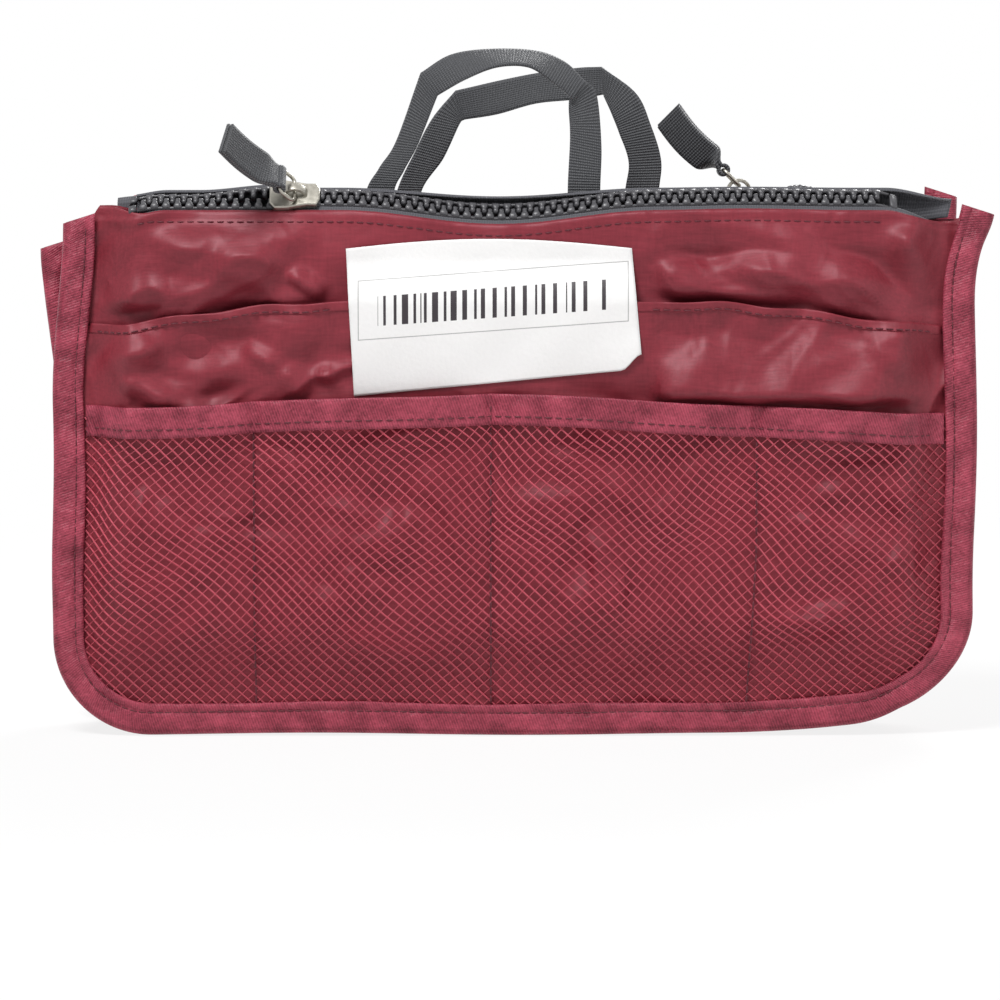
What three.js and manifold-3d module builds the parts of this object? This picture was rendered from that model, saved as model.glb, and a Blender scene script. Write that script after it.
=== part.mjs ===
// Purse organizer insert: two zipped nylon walls, an open middle between them and a folding gusset.
// Millimetres, +Z up. The bag stands with its front toward -Y, origin under the middle of its base.
import * as THREE from "three";
import { mergeGeometries, mergeVertices } from "three/addons/utils/BufferGeometryUtils.js";
import Module from "manifold-3d";

const wasm = await Module();
wasm.setup();

// Body
const BODY_WIDTH = 290;
const BODY_HEIGHT = 169;
const CORNER_RADIUS = 27;
const SEAM_SPACING = 30;
const CLOTH = 0.4;
const LAYER_GAP = 0.25;
const CLEARANCE = 0.3;

// Binding tape folded over the edge of each wall
const BINDING_DEPTH = 10;
const BINDING_TAPE = 0.6;
const BINDING_ROUND = 1.1;
const SEAM_LAYERS = 5;
const SIDE_EASE = 14;
const BOTTOM_EASE = 32;

// Gusset: its floor lies on the table and its sides fold inward
const GUSSET_FULL_WIDTH = 54;
const FLOOR_FLAT = 18;
const FOLD_RISE = 90;

// Zipper: the front one leans toward the front, the back one lies level a little higher
const FRONT_ZIP_TILT = 45 * THREE.MathUtils.DEG2RAD;
const BACK_ZIP_TILT = 4 * THREE.MathUtils.DEG2RAD;
const FRONT_CHAIN_HEIGHT = 169.5;
const BACK_CHAIN_HEIGHT = 168;
const CHAIN_OUT = 3;
const CHAIN_WIDTH = 6.2;
const TOOTH_PITCH = 3.6;
const TOOTH_NECK = 1.2;
const TOOTH_HEAD = 1.7;
const TOOTH_OVERLAP = 0.7;
const TOOTH_ROOT = 1.15;
const TOOTH_HEIGHT = 2.6;
const CHAIN_PARTING = 1.35;
const PARTING_LENGTH = 6.5;
const STOP_LENGTH = 2.6;
const ZIP_TAPE = 0.5;
const TAPE_SKIRT = 9;
const TAPE_SHOWN = 3.5;

// Slider and pull
const FRONT_SLIDER_X = -68;
const BACK_SLIDER_X = -72;
const SLIDER_LENGTH = 15;
const SLIDER_PLATE = 1;
const SLIDER_FLANGE = 0.95;
const SLIDER_BEVEL = 0.35;
const POST_LENGTH = 3;
const CROWN_LENGTH = 8;
const CROWN_RISE = 3.4;
const CROWN_WIDTH = 2.6;
const CROWN_THICKNESS = 1.1;
const BAIL_WIRE = 1.2;
const BAIL_WIDTH = 9.4;
const BAIL_LENGTH = 7;
const PULL_LENGTH = 27;
const PULL_NECK = 7.4;
const FRONT_PULL_ANGLE = 130 * THREE.MathUtils.DEG2RAD;
const BACK_PULL_ANGLE = 45 * THREE.MathUtils.DEG2RAD;
const FRONT_PULL_TWIST = -25 * THREE.MathUtils.DEG2RAD;
const BACK_PULL_TWIST = 50 * THREE.MathUtils.DEG2RAD;

// Webbing of the handles and pulls
const WEBBING_WIDTH = 10.2;
const WEBBING = 1.2;
const TAIL_LENGTH = 22;
const HANDLE_ROLL = 40 * THREE.MathUtils.DEG2RAD;
// Handle routes as seen from the outside of their own wall: sideways from the middle, height over the hinge
const FRONT_HANDLE = [[-41.4, 0], [-36, 10.5], [-28, 24.5], [-19, 31.5], [-3, 33.5], [13, 30.5], [21.5, 21.5],
  [22.4, 10], [22.6, 0]];
const BACK_HANDLE = [[-40.8, 0], [-40, 15], [-36.5, 27], [-27, 35], [-8, 35.5], [8, 32], [17, 25.5],
  [25, 13.5], [31.7, 0]];

// Pockets
const SLIP_TOP = 135;
const SLIP_GAPE = 6;
const MESH_TOP = 104.5;
const MESH_GAPE = 6.2;
const MESH_SEAMS = [-81, -7, 76];
const BACK_POCKET_TOP = 112;
const BACK_POCKET_GAPE = 6.2;
const BACK_POCKET_SEAMS = [0];
const POCKET_SLACK = 0.8;
const FLOOR_GAPE = 0.6;
const BAND_HEIGHT = 9;
const BAND_TAPE = 0.6;
const NET_PITCH_X = 18;
const NET_PITCH_Z = 14;
const NET_STRAND = 1.8;

// Paper label stuck across the mouth of the slip pocket, slightly askew, with one clipped corner
const LABEL_LEFT = -51;
const LABEL_RIGHT = 39;
const LABEL_BOTTOM = 107;
const LABEL_TOP = 153.5;
const LABEL_BOTTOM_RISE = 7;
const LABEL_TOP_RISE = 2;
const LABEL_CUT = 5;
const LABEL_PAPER = 0.3;

// Facets
const CORNER_STEPS = 6;
const SIDE_STEPS = 5;
const HANDLE_STEPS = 26;
const PULL_STEPS = 7;
const WIRE_SIDES = 6;
const CROWN_STEPS = 6;
const EYE_STEPS = 5;

// Seam stack: layers are counted from the outside of a wall, offsets are measured outward from the seam plane
const LAYER_PITCH = CLOTH + LAYER_GAP;
const SEAM_SLOT = SEAM_LAYERS * LAYER_PITCH + LAYER_GAP;
const BINDING_HALF = SEAM_SLOT / 2 + BINDING_TAPE;
const EDGE_INSET = BINDING_TAPE + CLEARANCE;
const LIP = BINDING_DEPTH + CLEARANCE;
const SHEET_HALF = BODY_WIDTH / 2 - EDGE_INSET;
const SHEET_CORNER = CORNER_RADIUS - EDGE_INSET;
const [NET_LAYER, SLIP_LAYER, OUTER_LAYER, INNER_LAYER, GUSSET_LAYER] = Array(SEAM_LAYERS).keys();
const layerOffset = (layer) => ((SEAM_LAYERS - 1) / 2 - layer) * LAYER_PITCH;

// Room for the slider: both tapes stay flat as far as it reaches, the inner one past its lower corner
const SLIDER_HALF_HEIGHT = TOOTH_HEIGHT / 2 + CLEARANCE + SLIDER_PLATE;
const SLIDER_HALF_WIDTH = CHAIN_WIDTH / 2 + CLEARANCE + CHAIN_PARTING + SLIDER_FLANGE;
const TAPE_TO_PANEL = ZIP_TAPE / 2 + LAYER_GAP + CLOTH / 2;
const CHAIN_END = SHEET_HALF - LIP - SIDE_EASE;

// Where the flat part of each zipper tape ends, and where that puts the two panels and the handle of the wall
function zipPlan(tilt, height, sliderX) {
  const outerFlat = SLIDER_HALF_WIDTH + CLEARANCE;
  const innerFlat = SLIDER_HALF_WIDTH + SLIDER_HALF_HEIGHT * Math.tan(tilt)
    + (ZIP_TAPE / 2 + CLEARANCE) / Math.cos(tilt);
  const outerFold = { out: CHAIN_OUT + outerFlat * Math.cos(tilt), z: height - outerFlat * Math.sin(tilt) };
  const innerFold = { out: CHAIN_OUT - innerFlat * Math.cos(tilt), z: height + innerFlat * Math.sin(tilt) };
  const innerOut = innerFold.out - TAPE_TO_PANEL;
  return {
    tilt,
    height,
    sliderX,
    outerFold,
    innerFold,
    innerOut,
    outerOut: outerFold.out + TAPE_TO_PANEL,
    outerTop: outerFold.z - ZIP_TAPE - CLEARANCE,
    innerTop: innerFold.z - TAPE_SHOWN,
    handleOut: innerOut - CLOTH / 2 - CLEARANCE - WEBBING / 2,
    handleZ: innerFold.z + ZIP_TAPE + WEBBING,
  };
}

const FRONT_ZIP = zipPlan(FRONT_ZIP_TILT, FRONT_CHAIN_HEIGHT, FRONT_SLIDER_X);
const BACK_ZIP = zipPlan(BACK_ZIP_TILT, BACK_CHAIN_HEIGHT, BACK_SLIDER_X);

const EASE_BREAKS = [0, 1 / 3, 2 / 3, 1];

// Interpolates between given points, level beyond the ends
function through(points, at) {
  if (at <= points[0][0]) return points[0][1];
  for (let i = 1; i < points.length; i += 1) {
    const [x0, y0] = points[i - 1];
    const [x1, y1] = points[i];
    if (at <= x1) return y0 + ((y1 - y0) * (at - x0)) / (x1 - x0);
  }
  return points[points.length - 1][1];
}

const EASE = EASE_BREAKS.map((t) => [t, THREE.MathUtils.smoothstep(t, 0, 1)]);

// 0 where a panel lies in its bound seam, 1 where it stands clear of it
const sideSwell = (x) => through(EASE, (SHEET_HALF - Math.abs(x) - LIP) / SIDE_EASE);
const swell = (x, z) => sideSwell(x) * through(EASE, (z - EDGE_INSET - LIP) / BOTTOM_EASE);

// Half width of a sheet at a height, following the rounded lower corners
function halfWidth(z) {
  const up = Math.min(z - EDGE_INSET, SHEET_CORNER);
  return SHEET_HALF - SHEET_CORNER + Math.sqrt(SHEET_CORNER ** 2 - (SHEET_CORNER - up) ** 2);
}

const wallY = (out) => -SEAM_SPACING / 2 - out;
const sorted = (values) => [...new Set(values)].sort((a, b) => a - b);
const EDGE_COLUMNS = [SHEET_HALF, ...EASE_BREAKS.map((t) => SHEET_HALF - LIP - SIDE_EASE * t)];
const SHEET_COLUMNS = sorted([...EDGE_COLUMNS, ...EDGE_COLUMNS.map((x) => -x)]);
const LOW_ROWS = [EDGE_INSET, ...EASE_BREAKS.map((t) => EDGE_INSET + LIP + BOTTOM_EASE * t)];

const standard = (color, roughness, metalness = 0) =>
  new THREE.MeshStandardMaterial({ color, roughness, metalness });
const MATERIAL = {
  nylon: standard(0x8c3345, 0.38),
  binding: standard(0x98394c, 0.8),
  net: standard(0x9c3c50, 0.85),
  webbing: standard(0x4b4c4f, 0.9),
  zipTape: standard(0x5c5e68, 0.85),
  teeth: standard(0x6a676d, 0.45),
  nickel: standard(0xb9b5ac, 0.28, 1),
  paper: standard(0xf1efef, 0.6),
};

function named(name, geometry, material) {
  const mesh = new THREE.Mesh(geometry, material);
  mesh.name = name;
  return mesh;
}

function bareGeometry(positions, index) {
  const geometry = new THREE.BufferGeometry();
  geometry.setAttribute("position", new THREE.Float32BufferAttribute(positions, 3));
  geometry.setIndex(index);
  return geometry;
}

// Closed slab over a grid: place(column, row, side) gives the points of its two faces, side -0.5 and 0.5
function slab(columns, rows, place) {
  const positions = [];
  for (const side of [-0.5, 0.5]) {
    for (const row of rows) {
      for (const column of columns) positions.push(...place(column, row, side));
    }
  }
  const wide = columns.length;
  const tall = rows.length;
  const at = (i, j, side) => (side * tall + j) * wide + i;
  const index = [];
  const quad = (a, b, c, d) => index.push(a, b, c, a, c, d);
  for (let j = 0; j + 1 < tall; j += 1) {
    for (let i = 0; i + 1 < wide; i += 1) {
      quad(at(i, j, 0), at(i + 1, j, 0), at(i + 1, j + 1, 0), at(i, j + 1, 0));
      index.push(at(i, j, 1), at(i + 1, j + 1, 1), at(i + 1, j, 1));
      index.push(at(i, j, 1), at(i, j + 1, 1), at(i + 1, j + 1, 1));
    }
  }
  for (let i = 0; i + 1 < wide; i += 1) {
    quad(at(i, 0, 0), at(i, 0, 1), at(i + 1, 0, 1), at(i + 1, 0, 0));
    quad(at(i, tall - 1, 0), at(i + 1, tall - 1, 0), at(i + 1, tall - 1, 1), at(i, tall - 1, 1));
  }
  for (let j = 0; j + 1 < tall; j += 1) {
    quad(at(0, j, 0), at(0, j + 1, 0), at(0, j + 1, 1), at(0, j, 1));
    quad(at(wide - 1, j, 0), at(wide - 1, j, 1), at(wide - 1, j + 1, 1), at(wide - 1, j + 1, 0));
  }
  return bareGeometry(positions, index);
}

// Skin over a row of closed sections with equal point counts. Open rows get caps cut from the flat profile
function loft(sections, capProfile) {
  const around = sections[0].length;
  const positions = sections.flat().flatMap((p) => [p.x, p.y, p.z]);
  const index = [];
  const spans = capProfile ? sections.length - 1 : sections.length;
  for (let s = 0; s < spans; s += 1) {
    const here = s * around;
    const next = ((s + 1) % sections.length) * around;
    for (let k = 0; k < around; k += 1) {
      const turn = (k + 1) % around;
      index.push(here + k, here + turn, next + turn, here + k, next + turn, next + k);
    }
  }
  if (capProfile) {
    const last = (sections.length - 1) * around;
    const counter = THREE.ShapeUtils.isClockWise(capProfile) ? -1 : 1;
    for (const [a, b, c] of THREE.ShapeUtils.triangulateShape(capProfile, [])) {
      const face = counter > 0 ? [a, b, c] : [a, c, b];
      index.push(face[0], face[2], face[1], last + face[0], last + face[1], last + face[2]);
    }
    if (counter < 0) index.reverse();
  }
  const geometry = bareGeometry(positions, index);
  if (signedVolume(geometry) < 0) geometry.setIndex([...geometry.index.array].reverse());
  return geometry;
}

function signedVolume(geometry) {
  const position = geometry.attributes.position;
  const corners = [new THREE.Vector3(), new THREE.Vector3(), new THREE.Vector3()];
  let volume = 0;
  for (let t = 0; t < geometry.index.count; t += 3) {
    corners.forEach((corner, k) => corner.fromBufferAttribute(position, geometry.index.getX(t + k)));
    volume += corners[0].dot(corners[1].cross(corners[2])) / 6;
  }
  return volume;
}

function solidOf(geometry) {
  const bare = geometry.clone();
  bare.deleteAttribute("normal");
  bare.deleteAttribute("uv");
  const welded = mergeVertices(bare);
  const mesh = new wasm.Mesh({
    numProp: 3,
    vertProperties: new Float32Array(welded.attributes.position.array),
    triVerts: new Uint32Array(welded.index.array),
  });
  return new wasm.Manifold(mesh);
}

function geometryOf(solid) {
  const { vertProperties, triVerts } = solid.getMesh();
  return bareGeometry([...vertProperties], [...triVerts]);
}

function movePoints(geometry, move) {
  const position = geometry.attributes.position;
  const point = new THREE.Vector3();
  for (let i = 0; i < position.count; i += 1) {
    point.fromBufferAttribute(position, i);
    move(point);
    position.setXYZ(i, point.x, point.y, point.z);
  }
  return geometry;
}

const outline = (points) => new THREE.Shape(points.map(([x, y]) => new THREE.Vector2(x, y)));

// Plate between two heights with the given outline
function plate(shape, bottom, top) {
  const geometry = new THREE.ExtrudeGeometry(shape, { depth: top - bottom, bevelEnabled: false });
  return geometry.translate(0, 0, bottom);
}

// Stations along the left side, the bottom and the right side of a wall, each with its inward direction
function edgeStations(sideSteps) {
  const half = BODY_WIDTH / 2;
  const stations = [];
  const add = (x, z, turn) => stations.push({ x, z, inX: Math.cos(turn), inZ: Math.sin(turn) });
  for (let i = 0; i < sideSteps; i += 1) {
    add(-half, BODY_HEIGHT + ((CORNER_RADIUS - BODY_HEIGHT) * i) / sideSteps, 0);
  }
  for (const side of [-1, 1]) {
    for (let i = 0; i <= CORNER_STEPS; i += 1) {
      const turn = (Math.PI / 2) * (i / CORNER_STEPS + (side > 0 ? 1 : 0));
      const x = side * (half - CORNER_RADIUS) - CORNER_RADIUS * Math.cos(turn);
      add(x, CORNER_RADIUS - CORNER_RADIUS * Math.sin(turn), turn);
    }
  }
  for (let i = 1; i <= sideSteps; i += 1) {
    add(half, CORNER_RADIUS + ((BODY_HEIGHT - CORNER_RADIUS) * i) / sideSteps, Math.PI);
  }
  return stations;
}

const alongEdge = (station, profile) => profile.map(([y, inward]) =>
  new THREE.Vector3(station.x + station.inX * inward, y, station.z + station.inZ * inward));

// Tape folded round the wall's edge: a narrow channel with a rounded back
function binding() {
  const back = BINDING_HALF - BINDING_ROUND;
  const inside = SEAM_SLOT / 2;
  const upper = [[BINDING_HALF, BINDING_DEPTH], [inside, BINDING_DEPTH], [inside, BINDING_TAPE]];
  const bevel = BINDING_ROUND * (1 - Math.SQRT1_2);
  const round = [[back, 0], [BINDING_HALF - bevel, bevel], [BINDING_HALF, BINDING_ROUND]];
  const half = [...round, ...upper];
  const profile = [...half, ...half.map(([out, inward]) => [-out, inward]).reverse()];
  const inPlace = profile.map(([out, inward]) => [wallY(out), inward]);
  const sections = edgeStations(1).map((station) => alongEdge(station, inPlace));
  return loft(sections, inPlace.map(([y, inward]) => new THREE.Vector2(y, inward)));
}

// Gives an open line of points a thickness, with mitred corners
function thicken(points, thickness) {
  const line = points.map(([x, y]) => new THREE.Vector2(x, y));
  const normalOf = (a, b) => new THREE.Vector2(a.y - b.y, b.x - a.x).normalize();
  const offsets = line.map((p, i) => {
    const before = normalOf(line[Math.max(i - 1, 0)], line[Math.max(i, 1)]);
    const after = normalOf(line[Math.min(i, line.length - 2)], line[Math.min(i + 1, line.length - 1)]);
    const mitre = before.clone().add(after).normalize();
    return mitre.multiplyScalar(thickness / 2 / mitre.dot(after));
  });
  const upper = line.map((p, i) => [p.x + offsets[i].x, p.y + offsets[i].y]);
  const lower = line.map((p, i) => [p.x - offsets[i].x, p.y - offsets[i].y]);
  return [...upper, ...lower.reverse()];
}

// One strip from the left through the base to the right: flat on the table, folded inward up the sides
function gusset() {
  const seamY = wallY(layerOffset(GUSSET_LAYER));
  const turnY = wallY(-BINDING_HALF) + CLEARANCE + CLOTH;
  const turnIn = LIP + CLOTH;
  const fold = Math.sqrt(GUSSET_FULL_WIDTH ** 2 - SEAM_SPACING ** 2) / 2;
  const floor = CLOTH / 2;
  const profileAt = (z) => {
    const folded = THREE.MathUtils.smoothstep(z, 0, FOLD_RISE);
    const middle = THREE.MathUtils.lerp(floor, turnIn + fold, folded);
    const shoulder = THREE.MathUtils.lerp(floor, turnIn + fold / 2, folded);
    const shoulderY = THREE.MathUtils.lerp(-FLOOR_FLAT / 2, turnY / 2, folded);
    const half = [[seamY, EDGE_INSET], [seamY, turnIn], [turnY, turnIn], [shoulderY, shoulder]];
    const line = [...half, [0, middle], ...half.map(([y, inward]) => [-y, inward]).reverse()];
    return thicken(line, CLOTH);
  };
  const stations = edgeStations(SIDE_STEPS);
  const sections = stations.map((station) => alongEdge(station, profileAt(station.z)));
  return loft(sections, profileAt(BODY_HEIGHT).map(([y, inward]) => new THREE.Vector2(y, inward)));
}

// Cloth sheet sewn into the binding on three sides; outAt gives how far it stands off the seam plane
function sheet(columns, rows, outAt, thickness = CLOTH) {
  return slab(columns, rows, (x, z, side) => [
    (x / SHEET_HALF) * halfWidth(z),
    wallY(outAt(x, z)) + side * thickness,
    z,
  ]);
}

const panel = (layer, full, top) => sheet(SHEET_COLUMNS, [...LOW_ROWS, top],
  (x, z) => layerOffset(layer) + (full - layerOffset(layer)) * swell(x, z));

// Slack of a pocket between two sewn lines: nothing at the lines, full across the middle
const LOBE = [[0, 0], [0.2, 0.78], [0.5, 1], [0.8, 0.78], [1, 0]];

function lobes(seams) {
  const edge = SHEET_HALF - LIP;
  const lines = [-edge, ...seams, edge];
  const points = [];
  for (let i = 0; i + 1 < lines.length; i += 1) {
    const width = lines[i + 1] - lines[i];
    for (const [at, value] of LOBE) points.push([lines[i] + at * width, value]);
  }
  return points.filter(([x], i) => i === 0 || x !== points[i - 1][0]);
}

// Pocket sheet in front of a panel, drawn in at its seams, with its mouth standing open
function pocketOut({ layer, base, gape, seams, mouth }) {
  const shape = seams ? lobes(seams) : [[0, 1]];
  return (x, z) => {
    const start = layerOffset(layer);
    return start + (base - start + gape * through(mouth, z) * through(shape, x)) * swell(x, z);
  };
}

// Staggered diamond openings over the clear area of the mesh pocket
function netOpenings(bottom, top) {
  const a = NET_PITCH_X / 2;
  const b = NET_PITCH_Z / 2;
  const shrink = 1 - (NET_STRAND * Math.hypot(a, b)) / (2 * a * b);
  const diamond = outline([[a * shrink, 0], [0, b * shrink], [-a * shrink, 0], [0, -b * shrink]]);
  const reach = SEAM_SPACING + BODY_WIDTH / 2;
  const prism = plate(diamond, -reach, reach).rotateX(Math.PI / 2);
  const edge = SHEET_HALF - LIP - NET_STRAND;
  const rows = Math.floor((top - bottom) / b) - 1;
  const startZ = (bottom + top - (rows - 1) * b) / 2;
  const prisms = [];
  for (let row = 0; row < rows; row += 1) {
    const z = startZ + row * b;
    const shift = row % 2 ? a : 0;
    const limit = Math.min(edge, halfWidth(z - b) - LIP) - a;
    const count = Math.floor((limit + shift) / NET_PITCH_X);
    for (let i = -count; i <= count - (row % 2 ? -1 : 0); i += 1) {
      const x = i * NET_PITCH_X - shift;
      if (Math.abs(x) <= limit) prisms.push(prism.clone().translate(x, 0, z));
    }
  }
  return mergeGeometries(prisms);
}

// Twill band sewn along the mouth of a pocket, on its outer face
function band(columns, outAt, top) {
  const end = SHEET_HALF - LIP - CLEARANCE;
  const inside = sorted([-end, ...columns.filter((x) => Math.abs(x) < end), end]);
  const offset = CLOTH / 2 + LAYER_GAP + BAND_TAPE / 2;
  return sheet(inside, [top - BAND_HEIGHT, top], (x, z) => outAt(x, z) + offset, BAND_TAPE);
}

// The two tooth rows part inside the slider, between these two places
const partingSpan = (sliderX) => [sliderX - PARTING_LENGTH / 2, sliderX + PARTING_LENGTH / 2];

// How far each tooth row stands off the closed line of the chain
function parting(x, sliderX) {
  const [parted, closed] = partingSpan(sliderX);
  return through([[parted, CHAIN_PARTING], [closed, 0]], x);
}

// Zipper tape: flat beside the chain, then folded down against the panel that carries it
function zipTape(zip, inner) {
  const sign = inner ? 1 : -1;
  const fold = inner ? zip.innerFold : zip.outerFold;
  const full = inner ? zip.innerOut : zip.outerOut;
  const start = layerOffset(inner ? INNER_LAYER : OUTER_LAYER);
  const end = SHEET_HALF - LIP - SIDE_EASE * EASE_BREAKS[1];
  const columns = sorted([...SHEET_COLUMNS.filter((x) => Math.abs(x) <= end), ...partingSpan(zip.sliderX)]);
  const faceOut = new THREE.Vector2(Math.sin(zip.tilt), Math.cos(zip.tilt));
  const skirtOut = new THREE.Vector2(-sign, 0);
  const foldOut = faceOut.clone().add(skirtOut).normalize();
  foldOut.divideScalar(foldOut.dot(faceOut));
  const thicknessAt = [skirtOut, foldOut, faceOut];
  return slab(columns, [0, 1, 2], (x, row, side) => {
    const follow = sideSwell(x);
    const skirt = start + (full - start) * follow + sign * TAPE_TO_PANEL;
    const chainSide = CHAIN_WIDTH / 2 + CLEARANCE + parting(x, zip.sliderX);
    const chainOut = CHAIN_OUT - sign * chainSide * Math.cos(zip.tilt);
    const out = [skirt, skirt, skirt + (chainOut - fold.out) * follow];
    const z = [fold.z - TAPE_SKIRT, fold.z, zip.height + sign * chainSide * Math.sin(zip.tilt)];
    const shift = sign * side * ZIP_TAPE;
    return [x, wallY(out[row] + thicknessAt[row].x * shift), z[row] + thicknessAt[row].y * shift];
  });
}

// Row of teeth on one tape edge, laid flat: x along the chain, y across it, z through it
function toothRow(sliderX, inner) {
  const sign = inner ? 1 : -1;
  const start = -CHAIN_END + STOP_LENGTH + CLEARANCE;
  const end = CHAIN_END - STOP_LENGTH - CLEARANCE;
  const spine = [start, ...partingSpan(sliderX), end];
  const points = [...spine.map((x) => [x, -CHAIN_WIDTH / 2]), [end, -TOOTH_ROOT]];
  const first = Math.ceil((start + TOOTH_HEAD) / TOOTH_PITCH);
  const last = Math.floor((end - TOOTH_HEAD) / TOOTH_PITCH - 0.5);
  for (let i = last; i >= first; i -= 1) {
    const x = (i + (inner ? 0.5 : 0)) * TOOTH_PITCH;
    points.push([x + TOOTH_NECK / 2, -TOOTH_ROOT], [x + TOOTH_HEAD / 2, TOOTH_OVERLAP]);
    points.push([x - TOOTH_HEAD / 2, TOOTH_OVERLAP], [x - TOOTH_NECK / 2, -TOOTH_ROOT]);
  }
  points.push([start, -TOOTH_ROOT]);
  const placed = points.map(([x, y]) => [x, -sign * y + sign * parting(x, sliderX)]);
  return plate(outline(placed), -TOOTH_HEIGHT / 2, TOOTH_HEIGHT / 2);
}

function stopBlock(x, y, width) {
  const height = TOOTH_HEIGHT + CLEARANCE;
  return new THREE.BoxGeometry(STOP_LENGTH, width, height).translate(x, y, 0);
}

// Slider: two plates joined by a post between the parting rows, flanges round the teeth and a crown on top
function sliderBody() {
  const half = SLIDER_LENGTH / 2;
  const outside = SLIDER_HALF_HEIGHT;
  const inside = outside - SLIDER_PLATE;
  const closed = CHAIN_WIDTH / 2 + CLEARANCE;
  const parted = closed + CHAIN_PARTING;
  const widenStart = PARTING_LENGTH / 2 + CLEARANCE;
  const widenEnd = CLEARANCE - PARTING_LENGTH / 2;
  const mirrored = (points) => [...points, ...points.map(([x, y]) => [x, -y]).reverse()];
  const nose = parted - SLIDER_FLANGE;
  const body = mirrored([
    [half, closed - SLIDER_FLANGE],
    [half - SLIDER_FLANGE, closed + SLIDER_FLANGE],
    [widenStart, closed + SLIDER_FLANGE],
    [widenEnd, parted + SLIDER_FLANGE],
    [SLIDER_FLANGE * 1.5 - half, parted + SLIDER_FLANGE],
    [-half, nose],
  ].map(([x, y]) => [x, y - SLIDER_BEVEL]));
  const block = new THREE.ExtrudeGeometry(outline(body.reverse()), {
    depth: 2 * (outside - SLIDER_BEVEL),
    bevelSize: SLIDER_BEVEL,
    bevelThickness: SLIDER_BEVEL,
    bevelSegments: 1,
  }).translate(0, 0, SLIDER_BEVEL - outside);
  const past = SLIDER_LENGTH;
  const channel = [[past, closed], [widenStart, closed], [widenEnd, parted], [-past, parted]];
  const cavity = outline(mirrored(channel).reverse());
  const slotHalf = ZIP_TAPE / 2 + CLEARANCE;
  const slot = new THREE.BoxGeometry(2 * SLIDER_LENGTH, 4 * parted, 2 * slotHalf);
  const postHalf = CHAIN_PARTING - TOOTH_OVERLAP - CLEARANCE;
  const postStart = CLEARANCE - half;
  const post = outline([[postStart, -postHalf], [postStart + POST_LENGTH - postHalf, -postHalf],
    [postStart + POST_LENGTH, 0], [postStart + POST_LENGTH - postHalf, postHalf], [postStart, postHalf]]);
  const sunk = SLIDER_PLATE / 2;
  const rise = CROWN_RISE + sunk;
  const arch = new THREE.Shape();
  arch.moveTo(-CROWN_LENGTH / 2, 0);
  arch.absellipse(0, 0, CROWN_LENGTH / 2, rise, Math.PI, 0, true);
  arch.lineTo(CROWN_LENGTH / 2 - CROWN_THICKNESS, 0);
  arch.absellipse(0, 0, CROWN_LENGTH / 2 - CROWN_THICKNESS, rise - CROWN_THICKNESS, 0, Math.PI, false);
  const crownOptions = { depth: CROWN_WIDTH, bevelEnabled: false, curveSegments: CROWN_STEPS };
  const crown = new THREE.ExtrudeGeometry(arch, crownOptions);
  crown.rotateX(Math.PI / 2).translate(0, CROWN_WIDTH / 2, outside - sunk);
  return geometryOf(solidOf(block)
    .subtract(solidOf(plate(cavity, -inside, inside)))
    .subtract(solidOf(slot))
    .add(solidOf(plate(post, -inside - sunk, inside + sunk)))
    .add(solidOf(crown)));
}

// Height of the bail's bar over the chain: the middle of the crown's eye
const EYE_HEIGHT = SLIDER_HALF_HEIGHT + (CROWN_RISE - CROWN_THICKNESS) / 2;

// Wire bail: a rounded rectangle through the crown's eye, x along the pull, y across it
function bail() {
  const radius = BAIL_WIRE;
  const half = BAIL_WIDTH / 2;
  const path = new THREE.Shape();
  path.moveTo(radius, -half);
  path.lineTo(BAIL_LENGTH - radius, -half);
  path.absarc(BAIL_LENGTH - radius, radius - half, radius, -Math.PI / 2, 0, false);
  path.lineTo(BAIL_LENGTH, half - radius);
  path.absarc(BAIL_LENGTH - radius, half - radius, radius, 0, Math.PI / 2, false);
  path.lineTo(radius, half);
  path.absarc(radius, half - radius, radius, Math.PI / 2, Math.PI, false);
  path.lineTo(0, radius - half);
  path.absarc(radius, radius - half, radius, Math.PI, 1.5 * Math.PI, false);
  const points = path.getPoints(2).filter((p, i, all) => i === 0 || p.distanceTo(all[i - 1]) > CLEARANCE / 2);
  if (points[0].distanceTo(points[points.length - 1]) < CLEARANCE / 2) points.pop();
  const sections = points.map((p, i) => {
    const before = points[(i + points.length - 1) % points.length];
    const after = points[(i + 1) % points.length];
    const along = after.clone().sub(before).normalize();
    return Array.from({ length: WIRE_SIDES }, (unused, k) => {
      const turn = (2 * Math.PI * k) / WIRE_SIDES;
      const reach = (BAIL_WIRE / 2) * Math.cos(turn);
      const lift = (BAIL_WIRE / 2) * Math.sin(turn);
      return new THREE.Vector3(p.x + along.y * reach, p.y - along.x * reach, lift);
    });
  });
  return loft(sections);
}

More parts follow.
